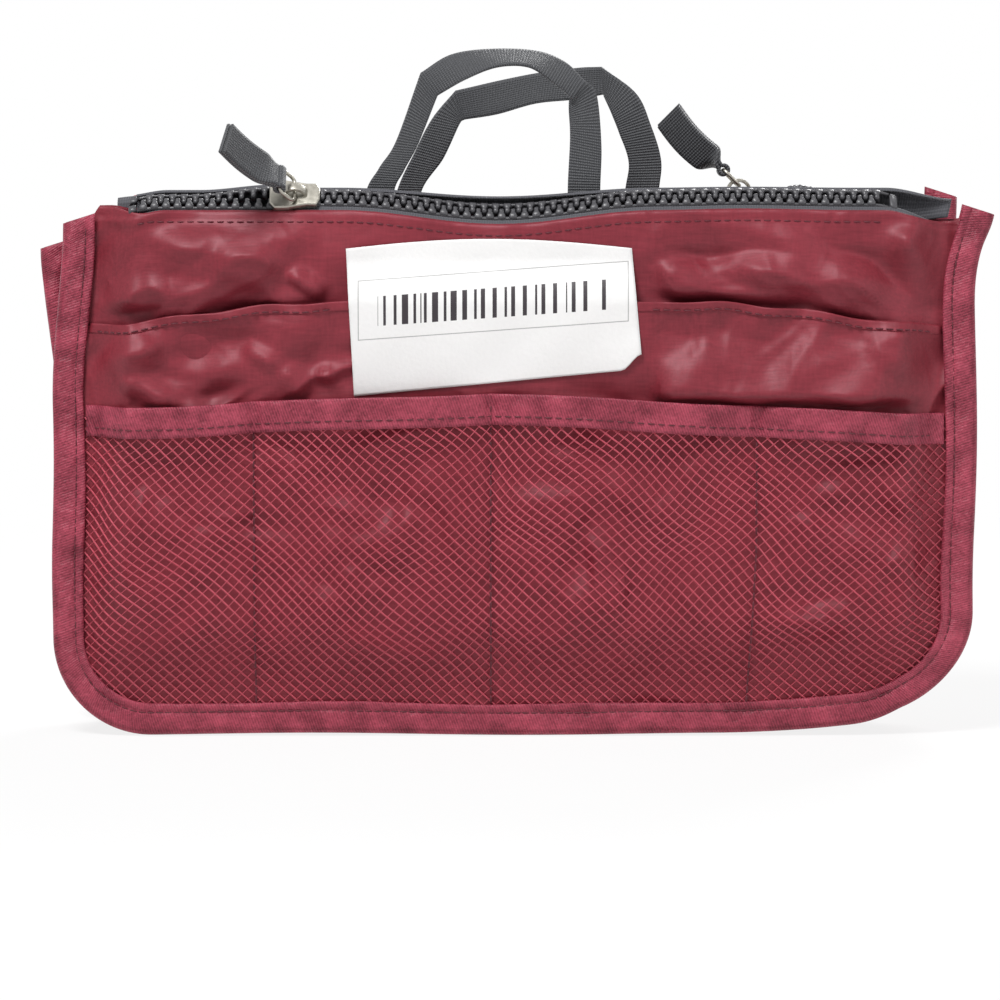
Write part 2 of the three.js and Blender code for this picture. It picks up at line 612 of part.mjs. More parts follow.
// Webbing tab folded double round the bail's outer bar, twisting along its length
function pullTab(twist) {
  const half = WEBBING;
  const eye = BAIL_WIRE / 2 + CLEARANCE;
  const loop = eye + WEBBING;
  const meet = Math.asin(half / loop);
  const start = BAIL_LENGTH + loop * Math.cos(meet);
  const tip = BAIL_LENGTH + PULL_LENGTH;
  const shape = new THREE.Shape();
  shape.absarc(BAIL_LENGTH, 0, loop, meet, 2 * Math.PI - meet, false);
  const stepX = (i) => start + ((tip - half - start) * i) / PULL_STEPS;
  for (let i = 1; i <= PULL_STEPS; i += 1) shape.lineTo(stepX(i), -half);
  shape.lineTo(tip, -half / 2);
  shape.lineTo(tip, half / 2);
  for (let i = PULL_STEPS; i >= 1; i -= 1) shape.lineTo(stepX(i), half);
  const hole = new THREE.Path();
  hole.absarc(BAIL_LENGTH, 0, eye, 0, 2 * Math.PI, true);
  shape.holes.push(hole);
  const options = { depth: WEBBING_WIDTH, bevelEnabled: false, curveSegments: EYE_STEPS };
  const tab = new THREE.ExtrudeGeometry(shape, options);
  tab.rotateX(Math.PI / 2).translate(0, WEBBING_WIDTH / 2, 0);
  const clearOfBail = BAIL_LENGTH + loop;
  return movePoints(tab, (point) => {
    const open = THREE.MathUtils.smoothstep(point.x, clearOfBail, tip - PULL_LENGTH / 2);
    point.y *= THREE.MathUtils.lerp(PULL_NECK / WEBBING_WIDTH, 1, open);
    const turn = twist * THREE.MathUtils.smoothstep(point.x, clearOfBail, tip);
    const { y, z } = point;
    point.y = y * Math.cos(turn) - z * Math.sin(turn);
    point.z = y * Math.sin(turn) + z * Math.cos(turn);
  });
}

// Loop of webbing over its two sewn ends, rolled toward its flat face at the top, hinge line at z 0
function handleLoop(route) {
  const curve = new THREE.CatmullRomCurve3(route.map(([x, z]) => new THREE.Vector3(x, 0, z)));
  const sections = [];
  const addSection = (at, shift, thickness) => {
    const point = curve.getPointAt(at);
    const along = shift ? new THREE.Vector3(0, 0, at > 0 ? -1 : 1) : curve.getTangentAt(at);
    const roll = HANDLE_ROLL * Math.sin(Math.PI * at) ** 2;
    const flat = new THREE.Vector3(along.z, 0, -along.x);
    const wide = flat.multiplyScalar(Math.cos(roll)).add(new THREE.Vector3(0, Math.sin(roll), 0));
    const deep = along.clone().cross(wide);
    point.addScaledVector(along, shift);
    const corner = (a, b) => point.clone()
      .addScaledVector(wide, (a * WEBBING_WIDTH) / 2)
      .addScaledVector(deep, (b * thickness) / 2);
    sections.push([corner(-1, -1), corner(1, -1), corner(1, 1), corner(-1, 1)]);
  };
  const knuckle = WEBBING * 0.4;
  addSection(0, -knuckle, WEBBING / 2);
  addSection(0, knuckle, WEBBING);
  for (let i = 1; i < HANDLE_STEPS; i += 1) addSection(i / HANDLE_STEPS, 0, WEBBING);
  addSection(1, -knuckle, WEBBING);
  addSection(1, knuckle, WEBBING / 2);
  const square = [[-1, -1], [1, -1], [1, 1], [-1, 1]].map(([x, y]) => new THREE.Vector2(x, y));
  return loft(sections, square);
}

// Flat end of a handle, sewn to the inner panel below the hinge line
function handleTail() {
  const top = -WEBBING / 2 - CLEARANCE;
  return new THREE.BoxGeometry(WEBBING_WIDTH, WEBBING, TAIL_LENGTH).translate(0, 0, top - TAIL_LENGTH / 2);
}

// Paper label: its lower half leans with the pocket, its upper half falls back to the panel above the mouth
function label(pocketAt, panelOut) {
  const lift = CLOTH / 2 + LAYER_GAP + LABEL_PAPER / 2;
  const width = LABEL_RIGHT - LABEL_LEFT;
  const clip = LABEL_RIGHT - LABEL_CUT;
  const slant = (x, rise) => (rise * (x - LABEL_LEFT)) / width;
  return slab([LABEL_LEFT, clip, LABEL_RIGHT], [0, 1, 2], (x, row, side) => {
    const bottom = LABEL_BOTTOM + slant(x, LABEL_BOTTOM_RISE) + (x > clip ? LABEL_CUT : 0);
    const z = [bottom, SLIP_TOP, LABEL_TOP + slant(x, LABEL_TOP_RISE)][row];
    const out = row < 2 ? pocketAt(x, z) : panelOut;
    return [x, wallY(out + lift) + side * LABEL_PAPER, z];
  });
}

function zipper(name, zip, pullAngle, pullTwist) {
  const { sliderX } = zip;
  const wall = new THREE.Group();
  wall.add(named(`${name}_zip_tape_outer`, zipTape(zip, false), MATERIAL.zipTape));
  wall.add(named(`${name}_zip_tape_inner`, zipTape(zip, true), MATERIAL.zipTape));

  const chain = new THREE.Group();
  chain.position.set(0, wallY(CHAIN_OUT), zip.height);
  chain.rotation.x = zip.tilt;
  wall.add(chain);
  chain.add(named(`${name}_zip_teeth_outer`, toothRow(sliderX, false), MATERIAL.teeth));
  chain.add(named(`${name}_zip_teeth_inner`, toothRow(sliderX, true), MATERIAL.teeth));
  const topStopWidth = CHAIN_WIDTH / 2 - TOOTH_ROOT;
  const topStopY = (CHAIN_WIDTH / 2 + TOOTH_ROOT) / 2 + CHAIN_PARTING;
  const stopX = CHAIN_END - STOP_LENGTH / 2;
  chain.add(named(`${name}_zip_top_stop_outer`, stopBlock(-stopX, -topStopY, topStopWidth), MATERIAL.teeth));
  chain.add(named(`${name}_zip_top_stop_inner`, stopBlock(-stopX, topStopY, topStopWidth), MATERIAL.teeth));
  chain.add(named(`${name}_zip_bottom_stop`, stopBlock(stopX, 0, CHAIN_WIDTH), MATERIAL.teeth));

  const slider = new THREE.Group();
  slider.position.x = sliderX;
  chain.add(slider);
  slider.add(named(`${name}_zip_slider`, sliderBody(), MATERIAL.nickel));

  const pull = new THREE.Group();
  pull.position.z = EYE_HEIGHT;
  pull.rotation.y = -pullAngle;
  slider.add(pull);
  pull.add(named(`${name}_pull_bail`, bail(), MATERIAL.nickel));
  pull.add(named(`${name}_pull_tab`, pullTab(pullTwist), MATERIAL.webbing));
  return wall;
}

function handle(name, zip, route) {
  const hinge = new THREE.Group();
  hinge.position.set(0, wallY(zip.handleOut), zip.handleZ);
  hinge.add(named(`${name}_handle_loop`, handleLoop(route), MATERIAL.webbing));
  const ends = [["left", route[0]], ["right", route[route.length - 1]]];
  for (const [side, [x]] of ends) {
    const tail = named(`${name}_handle_${side}_end`, handleTail(), MATERIAL.webbing);
    tail.position.x = x;
    hinge.add(tail);
  }
  return hinge;
}

// Parts that both walls have: bound edge, two panels, zipper between them and handle on the inner panel
function wallBase(name, zip, pullAngle, pullTwist, route) {
  const wall = new THREE.Group();
  wall.add(named(`${name}_binding`, binding(), MATERIAL.binding));
  wall.add(named(`${name}_outer_panel`, panel(OUTER_LAYER, zip.outerOut, zip.outerTop), MATERIAL.nylon));
  wall.add(named(`${name}_inner_panel`, panel(INNER_LAYER, zip.innerOut, zip.innerTop), MATERIAL.nylon));
  wall.add(zipper(name, zip, pullAngle, pullTwist));
  wall.add(handle(name, zip, route));
  return wall;
}

function frontWall() {
  const wall = wallBase("front", FRONT_ZIP, FRONT_PULL_ANGLE, FRONT_PULL_TWIST, FRONT_HANDLE);
  const slipBase = FRONT_ZIP.outerOut + LAYER_PITCH;
  const bandBottom = MESH_TOP - BAND_HEIGHT;
  const mouthStart = MESH_TOP + CLEARANCE;
  const slipMouth = [[mouthStart, POCKET_SLACK / SLIP_GAPE], [SLIP_TOP, 1]];
  const slipOut = pocketOut({ layer: SLIP_LAYER, base: slipBase, gape: SLIP_GAPE, mouth: slipMouth });
  const slipRows = [...LOW_ROWS, mouthStart, SLIP_TOP];
  wall.add(named("front_slip_pocket", sheet(SHEET_COLUMNS, slipRows, slipOut), MATERIAL.nylon));

  const meshBase = slipBase + POCKET_SLACK + LAYER_PITCH;
  const meshColumns = sorted([...SHEET_COLUMNS, ...lobes(MESH_SEAMS).map(([x]) => x)]);
  const meshMouth = [[LOW_ROWS[0], FLOOR_GAPE], [bandBottom, 1]];
  const meshOut = pocketOut({
    layer: NET_LAYER, base: meshBase, gape: MESH_GAPE, seams: MESH_SEAMS, mouth: meshMouth,
  });
  const meshSheet = sheet(meshColumns, [...LOW_ROWS, bandBottom, MESH_TOP], meshOut);
  const openings = netOpenings(EDGE_INSET + LIP, bandBottom);
  const net = geometryOf(solidOf(meshSheet).subtract(solidOf(openings)));
  wall.add(named("front_mesh_pocket", net, MATERIAL.net));
  wall.add(named("front_mesh_band", band(meshColumns, meshOut, MESH_TOP), MATERIAL.binding));
  wall.add(named("paper_label", label(slipOut, FRONT_ZIP.outerOut), MATERIAL.paper));
  return wall;
}

function backWall() {
  const wall = wallBase("back", BACK_ZIP, BACK_PULL_ANGLE, BACK_PULL_TWIST, BACK_HANDLE);
  wall.rotation.z = Math.PI;
  const base = BACK_ZIP.outerOut + LAYER_PITCH;
  const bandBottom = BACK_POCKET_TOP - BAND_HEIGHT;
  const columns = sorted([...SHEET_COLUMNS, ...lobes(BACK_POCKET_SEAMS).map(([x]) => x)]);
  const mouth = [[LOW_ROWS[0], FLOOR_GAPE], [bandBottom, 1]];
  const pocket = pocketOut({
    layer: SLIP_LAYER, base, gape: BACK_POCKET_GAPE, seams: BACK_POCKET_SEAMS, mouth,
  });
  const rows = [...LOW_ROWS, bandBottom, BACK_POCKET_TOP];
  wall.add(named("back_slip_pocket", sheet(columns, rows, pocket), MATERIAL.nylon));
  wall.add(named("back_pocket_band", band(columns, pocket, BACK_POCKET_TOP), MATERIAL.binding));
  return wall;
}

const organizer = new THREE.Group();
organizer.add(frontWall());
organizer.add(backWall());
organizer.add(named("gusset", gusset(), MATERIAL.nylon));

export default organizer;
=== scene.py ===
import math
from functools import partial
from types import SimpleNamespace

import bpy
import numpy as np
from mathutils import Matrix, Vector


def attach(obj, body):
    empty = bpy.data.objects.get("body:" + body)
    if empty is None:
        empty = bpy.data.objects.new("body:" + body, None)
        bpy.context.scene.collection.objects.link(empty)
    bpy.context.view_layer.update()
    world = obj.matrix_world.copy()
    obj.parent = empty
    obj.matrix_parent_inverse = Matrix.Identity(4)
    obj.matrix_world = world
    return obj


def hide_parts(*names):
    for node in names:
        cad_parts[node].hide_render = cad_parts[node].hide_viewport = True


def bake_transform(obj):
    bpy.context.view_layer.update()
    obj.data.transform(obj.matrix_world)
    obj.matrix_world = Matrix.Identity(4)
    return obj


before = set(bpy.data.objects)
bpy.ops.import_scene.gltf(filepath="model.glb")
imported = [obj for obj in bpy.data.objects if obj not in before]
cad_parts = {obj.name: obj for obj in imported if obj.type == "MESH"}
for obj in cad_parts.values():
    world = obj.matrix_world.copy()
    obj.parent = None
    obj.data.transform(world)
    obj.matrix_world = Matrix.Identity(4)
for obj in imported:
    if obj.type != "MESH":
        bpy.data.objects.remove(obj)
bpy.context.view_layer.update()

# Shapes are worked out in millimetres and put into the meshes in metres.
MM = 0.001

# Body, as in the part
HALF_WIDTH = 145.0
SEAM_HALF = 15.0
CLOTH = 0.32
LIP = 10.3
EDGE_INSET = 0.9
SHEET_HALF = HALF_WIDTH - EDGE_INSET
SHEET_LOW = 2.2
SIDE_EASE = 14.0
BOTTOM_EASE = 32.0
EASE_START = 1.5
LAYER = 0.65
NET_SEAM, SLIP_SEAM, OUTER_SEAM, INNER_SEAM = 2 * LAYER, LAYER, 0.0, -LAYER
SLOT = 1.7
BINDING_HALF = 2.35
STITCH_LINE = 7.3

# Lower right corner: how far it lifts, where that starts, over what width it comes and where it has gone
LIFT, LIFT_FROM, LIFT_OVER, LIFT_HEIGHT = 3.8, 62, 50, 60

# Zipper
CHAIN_OUT = 3.0
CHAIN_HALF = 3.1
CHAIN_END = 119.8
TOOTH_PITCH = 3.6
TOOTH_HALF = 1.3
TOOTH_ROOM = 1.7
PARTING = 1.35
PARTING_HALF = 3.25
STOP = 2.6
STOP_GAP = 0.3
TAPE = 0.5
SKIRT = 9.0
TAPE_TO_PANEL = 0.7
EYE_HEIGHT = 3.75
BAIL_LENGTH = 7.0
BAIL_WIDTH = 9.4
BAIL_WIRE = 1.2
BAIL_CORNER = 1.9
PULL_LENGTH = 25.0
PULL_NECK = 8.4
PULL_LEAF = 0.62
PULL_ROOM = 0.35
WEBBING_WIDTH = 10.2
WEBBING = 1.1

# Pockets
SLIP_TOP = 135.0
SLIP_GAPE = 6.0
POCKET_SLACK = 0.8
MESH_TOP = 104.5
MESH_GAPE = 6.2
MESH_PEAK = -7.0
BAND_HEIGHT = 9.0
BAND_HALF = 0.72
HEM_HEIGHT = 2.6
HEM_HALF = 0.42
MESH_SEAMS = (-81.0, -7.0, 76.0)
BACK_POCKET_TOP = 112.0
BACK_POCKET_SEAMS = (0.0,)
NET_CELL = (3.8, 3.5)
NET_STRAND = 0.50
NET_THIN = 0.44
NET_OVAL = (1.25, 0.8)
NET_LOW = 3.0
NET_HIGH = MESH_TOP + 3.0
NET_UNDER = 3
NET_LINES = 75
NET_MIDDLE = 54
NET_INSET = 4.0

# Gusset: its half width between the seams, how deep its pleat is and how high up it is fully folded
GUSSET_HALF = 13.7
PLEAT = 22.4
FOLD_RISE = 90

# Label: its sides and thickness, the middle of its pattern, the hem without stitches behind it, and where the cloth
# lies flat under it (left, right, low) with the width over which that fades
LABEL_LEFT, LABEL_RIGHT, LABEL_BOTTOM, LABEL_TOP = -52.0, 36.9, 108.4, 154.4
PAPER_DEPTH = 0.22
LABEL_MIDDLE = (-6.5, 136.5)
LABEL_ROOM = (-54, 42)
LABEL_COVER, LABEL_FADE = (-60, 48, 98), 8

# Stitches: length, gap, radius
HEM_STITCH = (2.3, 0.9, 0.24)
NET_STITCH = (2.6, 0.35, 0.34)
POCKET_STITCH = (2.6, 0.5, 0.3)
EDGE_STITCH = (2.6, 0.15, 0.22)
ZIP_STITCH = (2.3, 0.8, 0.2)
PULL_STITCH = (1.3, 0.4, 0.22)
HANDLE_STITCH = (1.7, 0.5, 0.24)
# Where they run: below a mouth and off its sheet; pocket seams up from a height; under the zipper's fold; on the pull
HEM_SEWN = (2.0, 0.62)
BAND_SEWN = (6.3, 0.78)
SEAM_FOOT = 9
TOP_SEWN_HALF, TOP_SEWN_DROP, TOP_SEWN_LIFT = 118, 2.6, 0.26
PULL_SEWN_AT, PULL_SEWN_HALF = 6.5, 3.6

# Handles as rows across the strap: left edge x, z, right edge x, z, depth of the left edge, depth of the right edge.
# A new list starts at each sharp fold.
FRONT_STRAP = [
    [[-46.5, 151.3, -36.3, 151.3, 0, 0], [-46.3, 170.0, -37.4, 170.0, 0, 0], [-42.0, 178.6, -34.2, 177.8, 0, 0],
     [-36.6, 187.0, -29.8, 186.0, -0.4, 0.4], [-28.9, 208.4, -23.6, 201.3, 0.4, 0.8]],
    [[-28.9, 208.4, -23.6, 201.3, 0.4, 0.8], [-19.4, 213.8, -14.8, 206.6, -1.4, 3.4],
     [-6.8, 215.4, -5.0, 210.6, -2.6, 5.0], [7.2, 214.8, 4.8, 210.6, -2.6, 5.0],
     [16.0, 211.6, 12.2, 205.8, -1.4, 3.6], [22.2, 206.2, 18.2, 200.6, 0.8, 1.8]],
    [[22.2, 206.2, 18.2, 200.6, 0.8, 1.8], [26.0, 202.0, 17.4, 197.4, -0.2, 0.2],
     [27.6, 186.0, 17.8, 188.0, -0.4, 0.0], [27.3, 171.0, 17.1, 171.0, 0, 0], [27.7, 151.3, 17.5, 151.3, 0, 0]],
]
BACK_STRAP = [
    [[-37.2, 151.3, -27.0, 151.3, 0, 0], [-37.2, 168.6, -29.4, 168.8, 0, 0], [-30.8, 183.4, -22.0, 180.8, 0, 0.4],
     [-25.4, 193.6, -17.0, 191.4, 0.2, 0.6], [-18.2, 202.2, -15.4, 193.0, 0.8, 0.8]],
    [[-18.2, 202.2, -15.4, 193.0, 0.8, 0.8], [-4.0, 205.4, -5.0, 194.8, 1.2, -0.4],
     [8.5, 207.8, 7.2, 198.2, 1.4, -0.6], [21.0, 209.4, 19.5, 199.4, 1.0, -0.2],
     [28.0, 209.7, 28.6, 200.9, 0.6, 0.6]],
    [[28.0, 209.7, 28.6, 200.9, 0.6, 0.6], [38.9, 201.4, 31.1, 195.1, -0.6, -0.4],
     [43.5, 191.7, 33.6, 188.8, -0.4, 0], [47.0, 180.0, 36.7, 179.4, 0.4, 0.4], [46.2, 169.0, 35.5, 169.0, 0, 0],
     [45.9, 151.3, 35.7, 151.3, 0, 0]],
]
SEWN_LOW, SEWN_HIGH, SEWN_INSET = 153.0, 163.0, 1.5

# Each wall in its own view from outside: x to the right, out from the seam plane, z up. turn -1 is half a turn.
# corners: radius of the left and the right lower corner; flare: how far the left and the right side stand out at the
# top, the height where that starts, over what height it comes and how suddenly
FRONT = SimpleNamespace(
    name="front", body="front_wall", turn=1, seed=3, tilt=math.radians(45), height=169.5, slider=-68.0,
    outer_fold=(7.243, 165.26), inner_fold=(-3.419, 175.92), outer=7.943, inner=-4.119,
    corners=(31.0, 38.0), tops=(164.8, 167.6), flare=((-4.9, 104, 56, 1), (6.2, 130, 42, 2)),
    pull_angle=math.radians(130), pull_twist=math.radians(-18), twist_over=0.3, pull_bow=1.1,
    shoulders=(3.2, 1.5), tape_ends=(-121.5, 131.5), strap=FRONT_STRAP, strap_y=-9.78, hinge_z=177.62,
)
BACK = SimpleNamespace(
    name="back", body="back_wall", turn=-1, seed=8, tilt=math.radians(4), height=168.0, slider=-72.0,
    outer_fold=(8.985, 167.58), inner_fold=(-3.417, 168.45), outer=9.685, inner=-4.117,
    corners=(40.0, 30.0), tops=(171.5, 155.0), flare=((-4.4, 104, 56, 1), (5.9, 100, 60, 1)),
    pull_angle=math.radians(45), pull_twist=math.radians(66), twist_over=0.2, pull_bow=-1.3,
    shoulders=(1.8, -11.5), tape_ends=(-130.8, 121.0), strap=BACK_STRAP, strap_y=9.78, hinge_z=170.15,
)

# Light and view in metres and watts: lamps as name, place, size, power
LAMPS = (("key", (-0.45, -0.85, 1.45), 0.5, 26.5), ("side", (1.0, -0.6, 0.5), 0.8, 2.5),
         ("rear", (0.5, 1.0, 0.9), 0.6, 14.0))
LAMP_TARGET = Vector((0, 0, 0.09))
FILL = 0.16
WHITE = (1, 1, 1, 1)
FLOOR_HALF, FLOOR_LINES, FLOOR_DROP = 3000.0, 9, 0.05
VIEW_TARGET = Vector((-0.0041, -0.017, 0.0749))
VIEW_ELEVATION, VIEW_DISTANCE, VIEW_WIDTH = math.radians(6.5), 1.6, 0.314
SENSOR = 36.0


def smooth(t):
    """Smoothstep: 0 below 0, 1 above 1, level at both ends."""
    t = np.clip(t, 0, 1)
    return t * t * (3 - 2 * t)


def bell(x, start, end):
    """Squared sine: 0 at start and end, 1 midway."""
    return np.sin(np.pi * np.clip((x - start) / (end - start), 0, 1)) ** 2


def soft_max(a, b):
    """The larger of two values, rounded over where they meet."""
    return 0.5 * (a + b + np.sqrt((a - b) ** 2 + 0.5))


def unit(v):
    """Vectors brought to length 1."""
    return v / np.maximum(np.linalg.norm(v, axis=-1, keepdims=True), 1e-9)


def stacked(*columns):
    """Columns brought to one shape and set side by side in a last axis."""
    return np.stack(np.broadcast_arrays(*columns), -1)


def travelled(points):
    """Length run along a polyline up to each of its points."""
    return np.concatenate([[0], np.cumsum(np.linalg.norm(np.diff(points, axis=0), axis=1))])


def corner_lift(x, z):
    """How far the bag's lower right corner is lifted: growing with the square of the distance, gone higher up."""
    return LIFT * np.clip((x - LIFT_FROM) / LIFT_OVER, 0, 1.2) ** 2 * smooth(1 - z / LIFT_HEIGHT)


def place(wall, x, out, z):
    """World points of a wall: x sideways, out from the seam plane away from the other wall, z up."""
    turn = wall.turn
    return stacked(turn * x, -turn * (SEAM_HALF + out), z + corner_lift(turn * x, z))


def operator(operation, swapped=False):
    """A method of Value that adds one Math node, the other value first if swapped."""

    def method(self, *other):
        return self.maths(operation, *((*other, self) if swapped else (self, *other)))

    return method


class Value:
    """A node socket. Arithmetic on it adds Math nodes to its tree."""

    def __init__(self, finish, socket):
        self.finish, self.socket = finish, socket

    def maths(self, operation, *terms):
        """A Math node over one or two terms, each a number or a socket."""
        return self.finish.node("ShaderNodeMath", {"operation": operation}, dict(enumerate(terms)))

    __add__ = __radd__ = operator("ADD")
    __sub__, __rsub__ = operator("SUBTRACT"), operator("SUBTRACT", swapped=True)
    __mul__ = __rmul__ = operator("MULTIPLY")
    __pow__, __abs__ = operator("POWER"), operator("ABSOLUTE")
    __lt__, __gt__ = operator("LESS_THAN"), operator("GREATER_THAN")

    def wave(self, period):
        """Sine of the value with the given period, from 0 to 1."""
        return self.maths("SINE", self * (2 * math.pi / period)) * 0.5 + 0.5

    def ramp(self, low, high):
        """0 below low, 1 above high, eased between."""
        settings = {"interpolation_type": "SMOOTHSTEP"}
        return self.finish.node("ShaderNodeMapRange", settings, {0: self, 1: low, 2: high})


class Finish:
    """The nodes of one material or world."""

    def __init__(self, owner):
        owner.use_nodes = True
        self.owner, self.tree = owner, owner.node_tree
        self.tree.nodes.clear()

    def node(self, kind, settings=None, inputs=None, output=0):
        """Adds a node, its settings first, then the values or links of its sockets, and gives one of its outputs."""
        made = self.tree.nodes.new(kind)
        for key, value in (settings or {}).items():
            setattr(made, key, value)
        for key, value in (inputs or {}).items():
            if isinstance(value, Value):
                self.tree.links.new(value.socket, made.inputs[key])
            else:
                made.inputs[key].default_value = value
        return Value(self, made.outputs[output] if made.outputs else None)

    def place_mm(self):
        """Object coordinates in millimetres."""
        where = self.node("ShaderNodeTexCoord", output="Object")
        return self.node("ShaderNodeVectorMath", {"operation": "SCALE"}, {0: where, 3: 1 / MM})

    def cloth_mm(self):
        """The piece's own lengths in millimetres: both, across it and along it."""
        uv = self.node("ShaderNodeTexCoord", output="UV")
        split = self.node("ShaderNodeSeparateXYZ", inputs={0: uv})
        return uv, split, Value(self, split.socket.node.outputs[1])

    def noise(self, where, size, detail=2.0, stretch=None, distortion=0.0):
        """Noise whose blobs are about size millimetres, drawn out by the stretch factors."""
        if stretch:
            where = self.node("ShaderNodeVectorMath", {"operation": "DIVIDE"}, {0: where, 1: stretch})
        inputs = {"Vector": where, "Scale": 1.0 / size, "Detail": detail, "Distortion": distortion}
        return self.node("ShaderNodeTexNoise", inputs=inputs)

    def ridges(self, rounding, *noise):
        """Noise folded at its middle value into rounded ridges."""
        return 1 - (abs(self.noise(*noise) * 2 - 1) ** 2 + rounding) ** 0.5

    def shade(self, share, low, high):
        """Colour from low to high, each a colour or a socket, by a share from 0 to 1."""
        low, high = (colour if isinstance(colour, Value) else (*colour, 1) for colour in (low, high))
        return self.node("ShaderNodeMix", {"data_type": "RGBA"}, {"Factor": share, 6: low, 7: high}, output=2)

    def bump(self, height, depth_mm, below=None):
        """Normal bent by a height of so many millimetres, over another one if given."""
        inputs = {"Height": height, "Distance": depth_mm * MM, "Strength": 1.0}
        if below is not None:
            inputs["Normal"] = below
        return self.node("ShaderNodeBump", inputs=inputs)

    def seen(self):
        """1 for rays that show in the picture, straight, mirrored or through something clear, else 0."""
        rays = self.node("ShaderNodeLightPath").socket.node.outputs
        straight, mirrored, through = (Value(self, rays[f"Is {kind} Ray"])
                                       for kind in ("Camera", "Glossy", "Transmission"))
        return straight.maths("MAXIMUM", straight.maths("MAXIMUM", straight, mirrored), through)

    def surface(self, **sockets):
        """The finished material, with these sockets of its one shader set or linked."""
        named = {key.replace("_", " ").title().replace("Ior", "IOR"): value for key, value in sockets.items()}
        shader = self.node("ShaderNodeBsdfPrincipled", inputs=named)
        self.node("ShaderNodeOutputMaterial", inputs={0: shader})
        return self.owner


def new_finish(name):
    """A new material by name, ready for its nodes."""
    return Finish(bpy.data.materials.new(name))


def nylon_finish():
    """Satin taffeta: fine slubs along both threads, shallow facets between bent creases, a tinted soft gloss."""
    f = new_finish("burgundy nylon")
    mm = f.place_mm()
    slub = f.noise(mm, 0.8, 3.0, (9.0, 1.0, 1.0)) * 0.6 + f.noise(mm, 0.8, 3.0, (1.0, 1.0, 9.0)) * 0.4
    broad = f.noise(mm, 38.0, 3.0)
    facet = f.ridges(0.012, mm, 52.0, 1.0, (1.3, 1.0, 0.8), 1.2)
    small = f.ridges(0.008, mm, 22.0, 1.5, (0.8, 1.0, 1.2), 0.8)
    colour = f.shade(slub * 1.3 + broad * 0.6 - 0.45, (0.120, 0.009, 0.016), (0.262, 0.027, 0.042))
    normal = f.bump(slub, 0.10, f.bump(facet * 7.6 + small * 1.3, 1.0))
    return f.surface(base_color=colour, roughness=broad * 0.12 + 0.46, specular_ior_level=0.5,
                     specular_tint=(1.0, 0.72, 0.78, 1), normal=normal)


def binding_finish():
    """Ribbed twill tape: fine ribs across, a slant over them, worn lighter on the ribs."""
    f = new_finish("burgundy twill tape")
    uv, across, along = f.cloth_mm()
    rib = (along + across * 0.35).wave(0.85)
    thread = f.noise(uv, 0.9, 3.0)
    patch = f.noise(f.place_mm(), 7.0, 4.0)
    light = rib * 0.35 + thread * 0.9 + patch * 1.5 - 0.90
    colour = f.shade(light, (0.130, 0.009, 0.022), (0.44, 0.064, 0.106))
    normal = f.bump(rib * 0.5 + thread * 0.8, 0.16, f.bump(patch, 2.4))
    return f.surface(base_color=colour, roughness=0.5, specular_ior_level=0.35, sheen_weight=0.08,
                     sheen_roughness=0.4, sheen_tint=(1.0, 0.55, 0.65, 1), normal=normal)


def net_finish():
    """Sheer knitted strand: lighter than the cloth behind, twisted filaments along it with light between them."""
    f = new_finish("burgundy net")
    _, around, along = f.cloth_mm()
    twist = (along * 2.0 + around).wave(1.0)
    patch = f.noise(f.place_mm(), 21.0, 2.0)
    colour = f.shade(twist * 0.4 + patch * 0.6, (0.52, 0.058, 0.092), (0.78, 0.145, 0.200))
    return f.surface(base_color=colour, roughness=0.42, specular_ior_level=0.4, alpha=0.66,
                     normal=f.bump(twist, 0.06))


def webbing_finish():
    """Woven strap: ribs across it, a fine warp along it, a plainer selvedge line near each edge."""
    f = new_finish("grey webbing")
    uv, across, along = f.cloth_mm()
    rib = along.wave(0.86) ** 1.5
    warp = across.wave(0.7)
    edge = (abs(across) - 4.1).ramp(0.0, 0.5)
    thread = f.noise(uv, 0.4, 2.0)
    light = rib * 0.4 + warp * rib * 0.25 + thread * 0.3 + edge * 0.18
    colour = f.shade(light, (0.021, 0.0225, 0.0255), (0.087, 0.089, 0.098))
    normal = f.bump(rib * 0.7 + warp * 0.35 + thread * 0.3, 0.22)
    return f.surface(base_color=colour, roughness=0.6, sheen_weight=0.3, sheen_roughness=0.4, normal=normal)


def tape_finish():
    """Zipper tape: close knit ribs along it and fine ones across."""
    f = new_finish("blue grey zipper tape")
    uv, across, along = f.cloth_mm()
    knit = along.wave(0.8) * 0.5 + across.wave(1.1) * 0.5
    thread = f.noise(uv, 0.5, 2.0)
    colour = f.shade(knit * 0.5 + thread * 0.5, (0.036, 0.037, 0.045), (0.105, 0.105, 0.120))
    return f.surface(base_color=colour, roughness=0.7, sheen_weight=0.2, normal=f.bump(knit + thread * 0.5, 0.12))


def teeth_finish():
    """Moulded plastic: dark grey, slightly glossy, with a faint grain."""
    f = new_finish("grey moulded teeth")
    mm = f.place_mm()
    grain = f.noise(mm, 0.5, 3.0)
    tone = f.noise(mm, 3.0, 1.0)
    colour = f.shade(tone * 0.7 + grain * 0.3, (0.030, 0.029, 0.034), (0.082, 0.080, 0.088))
    return f.surface(base_color=colour, roughness=grain * 0.15 + 0.3, specular_ior_level=0.5,
                     normal=f.bump(grain, 0.04))


def nickel_finish():
    """Plated casting: warm grey metal with fine wear and a soft grain."""
    f = new_finish("nickel plate")
    wear = f.noise(f.place_mm(), 1.6, 4.0)
    colour = f.shade(wear, (0.25, 0.235, 0.20), (0.47, 0.45, 0.40))
    return f.surface(base_color=colour, metallic=1.0, roughness=wear * 0.22 + 0.26, normal=f.bump(wear, 0.05))


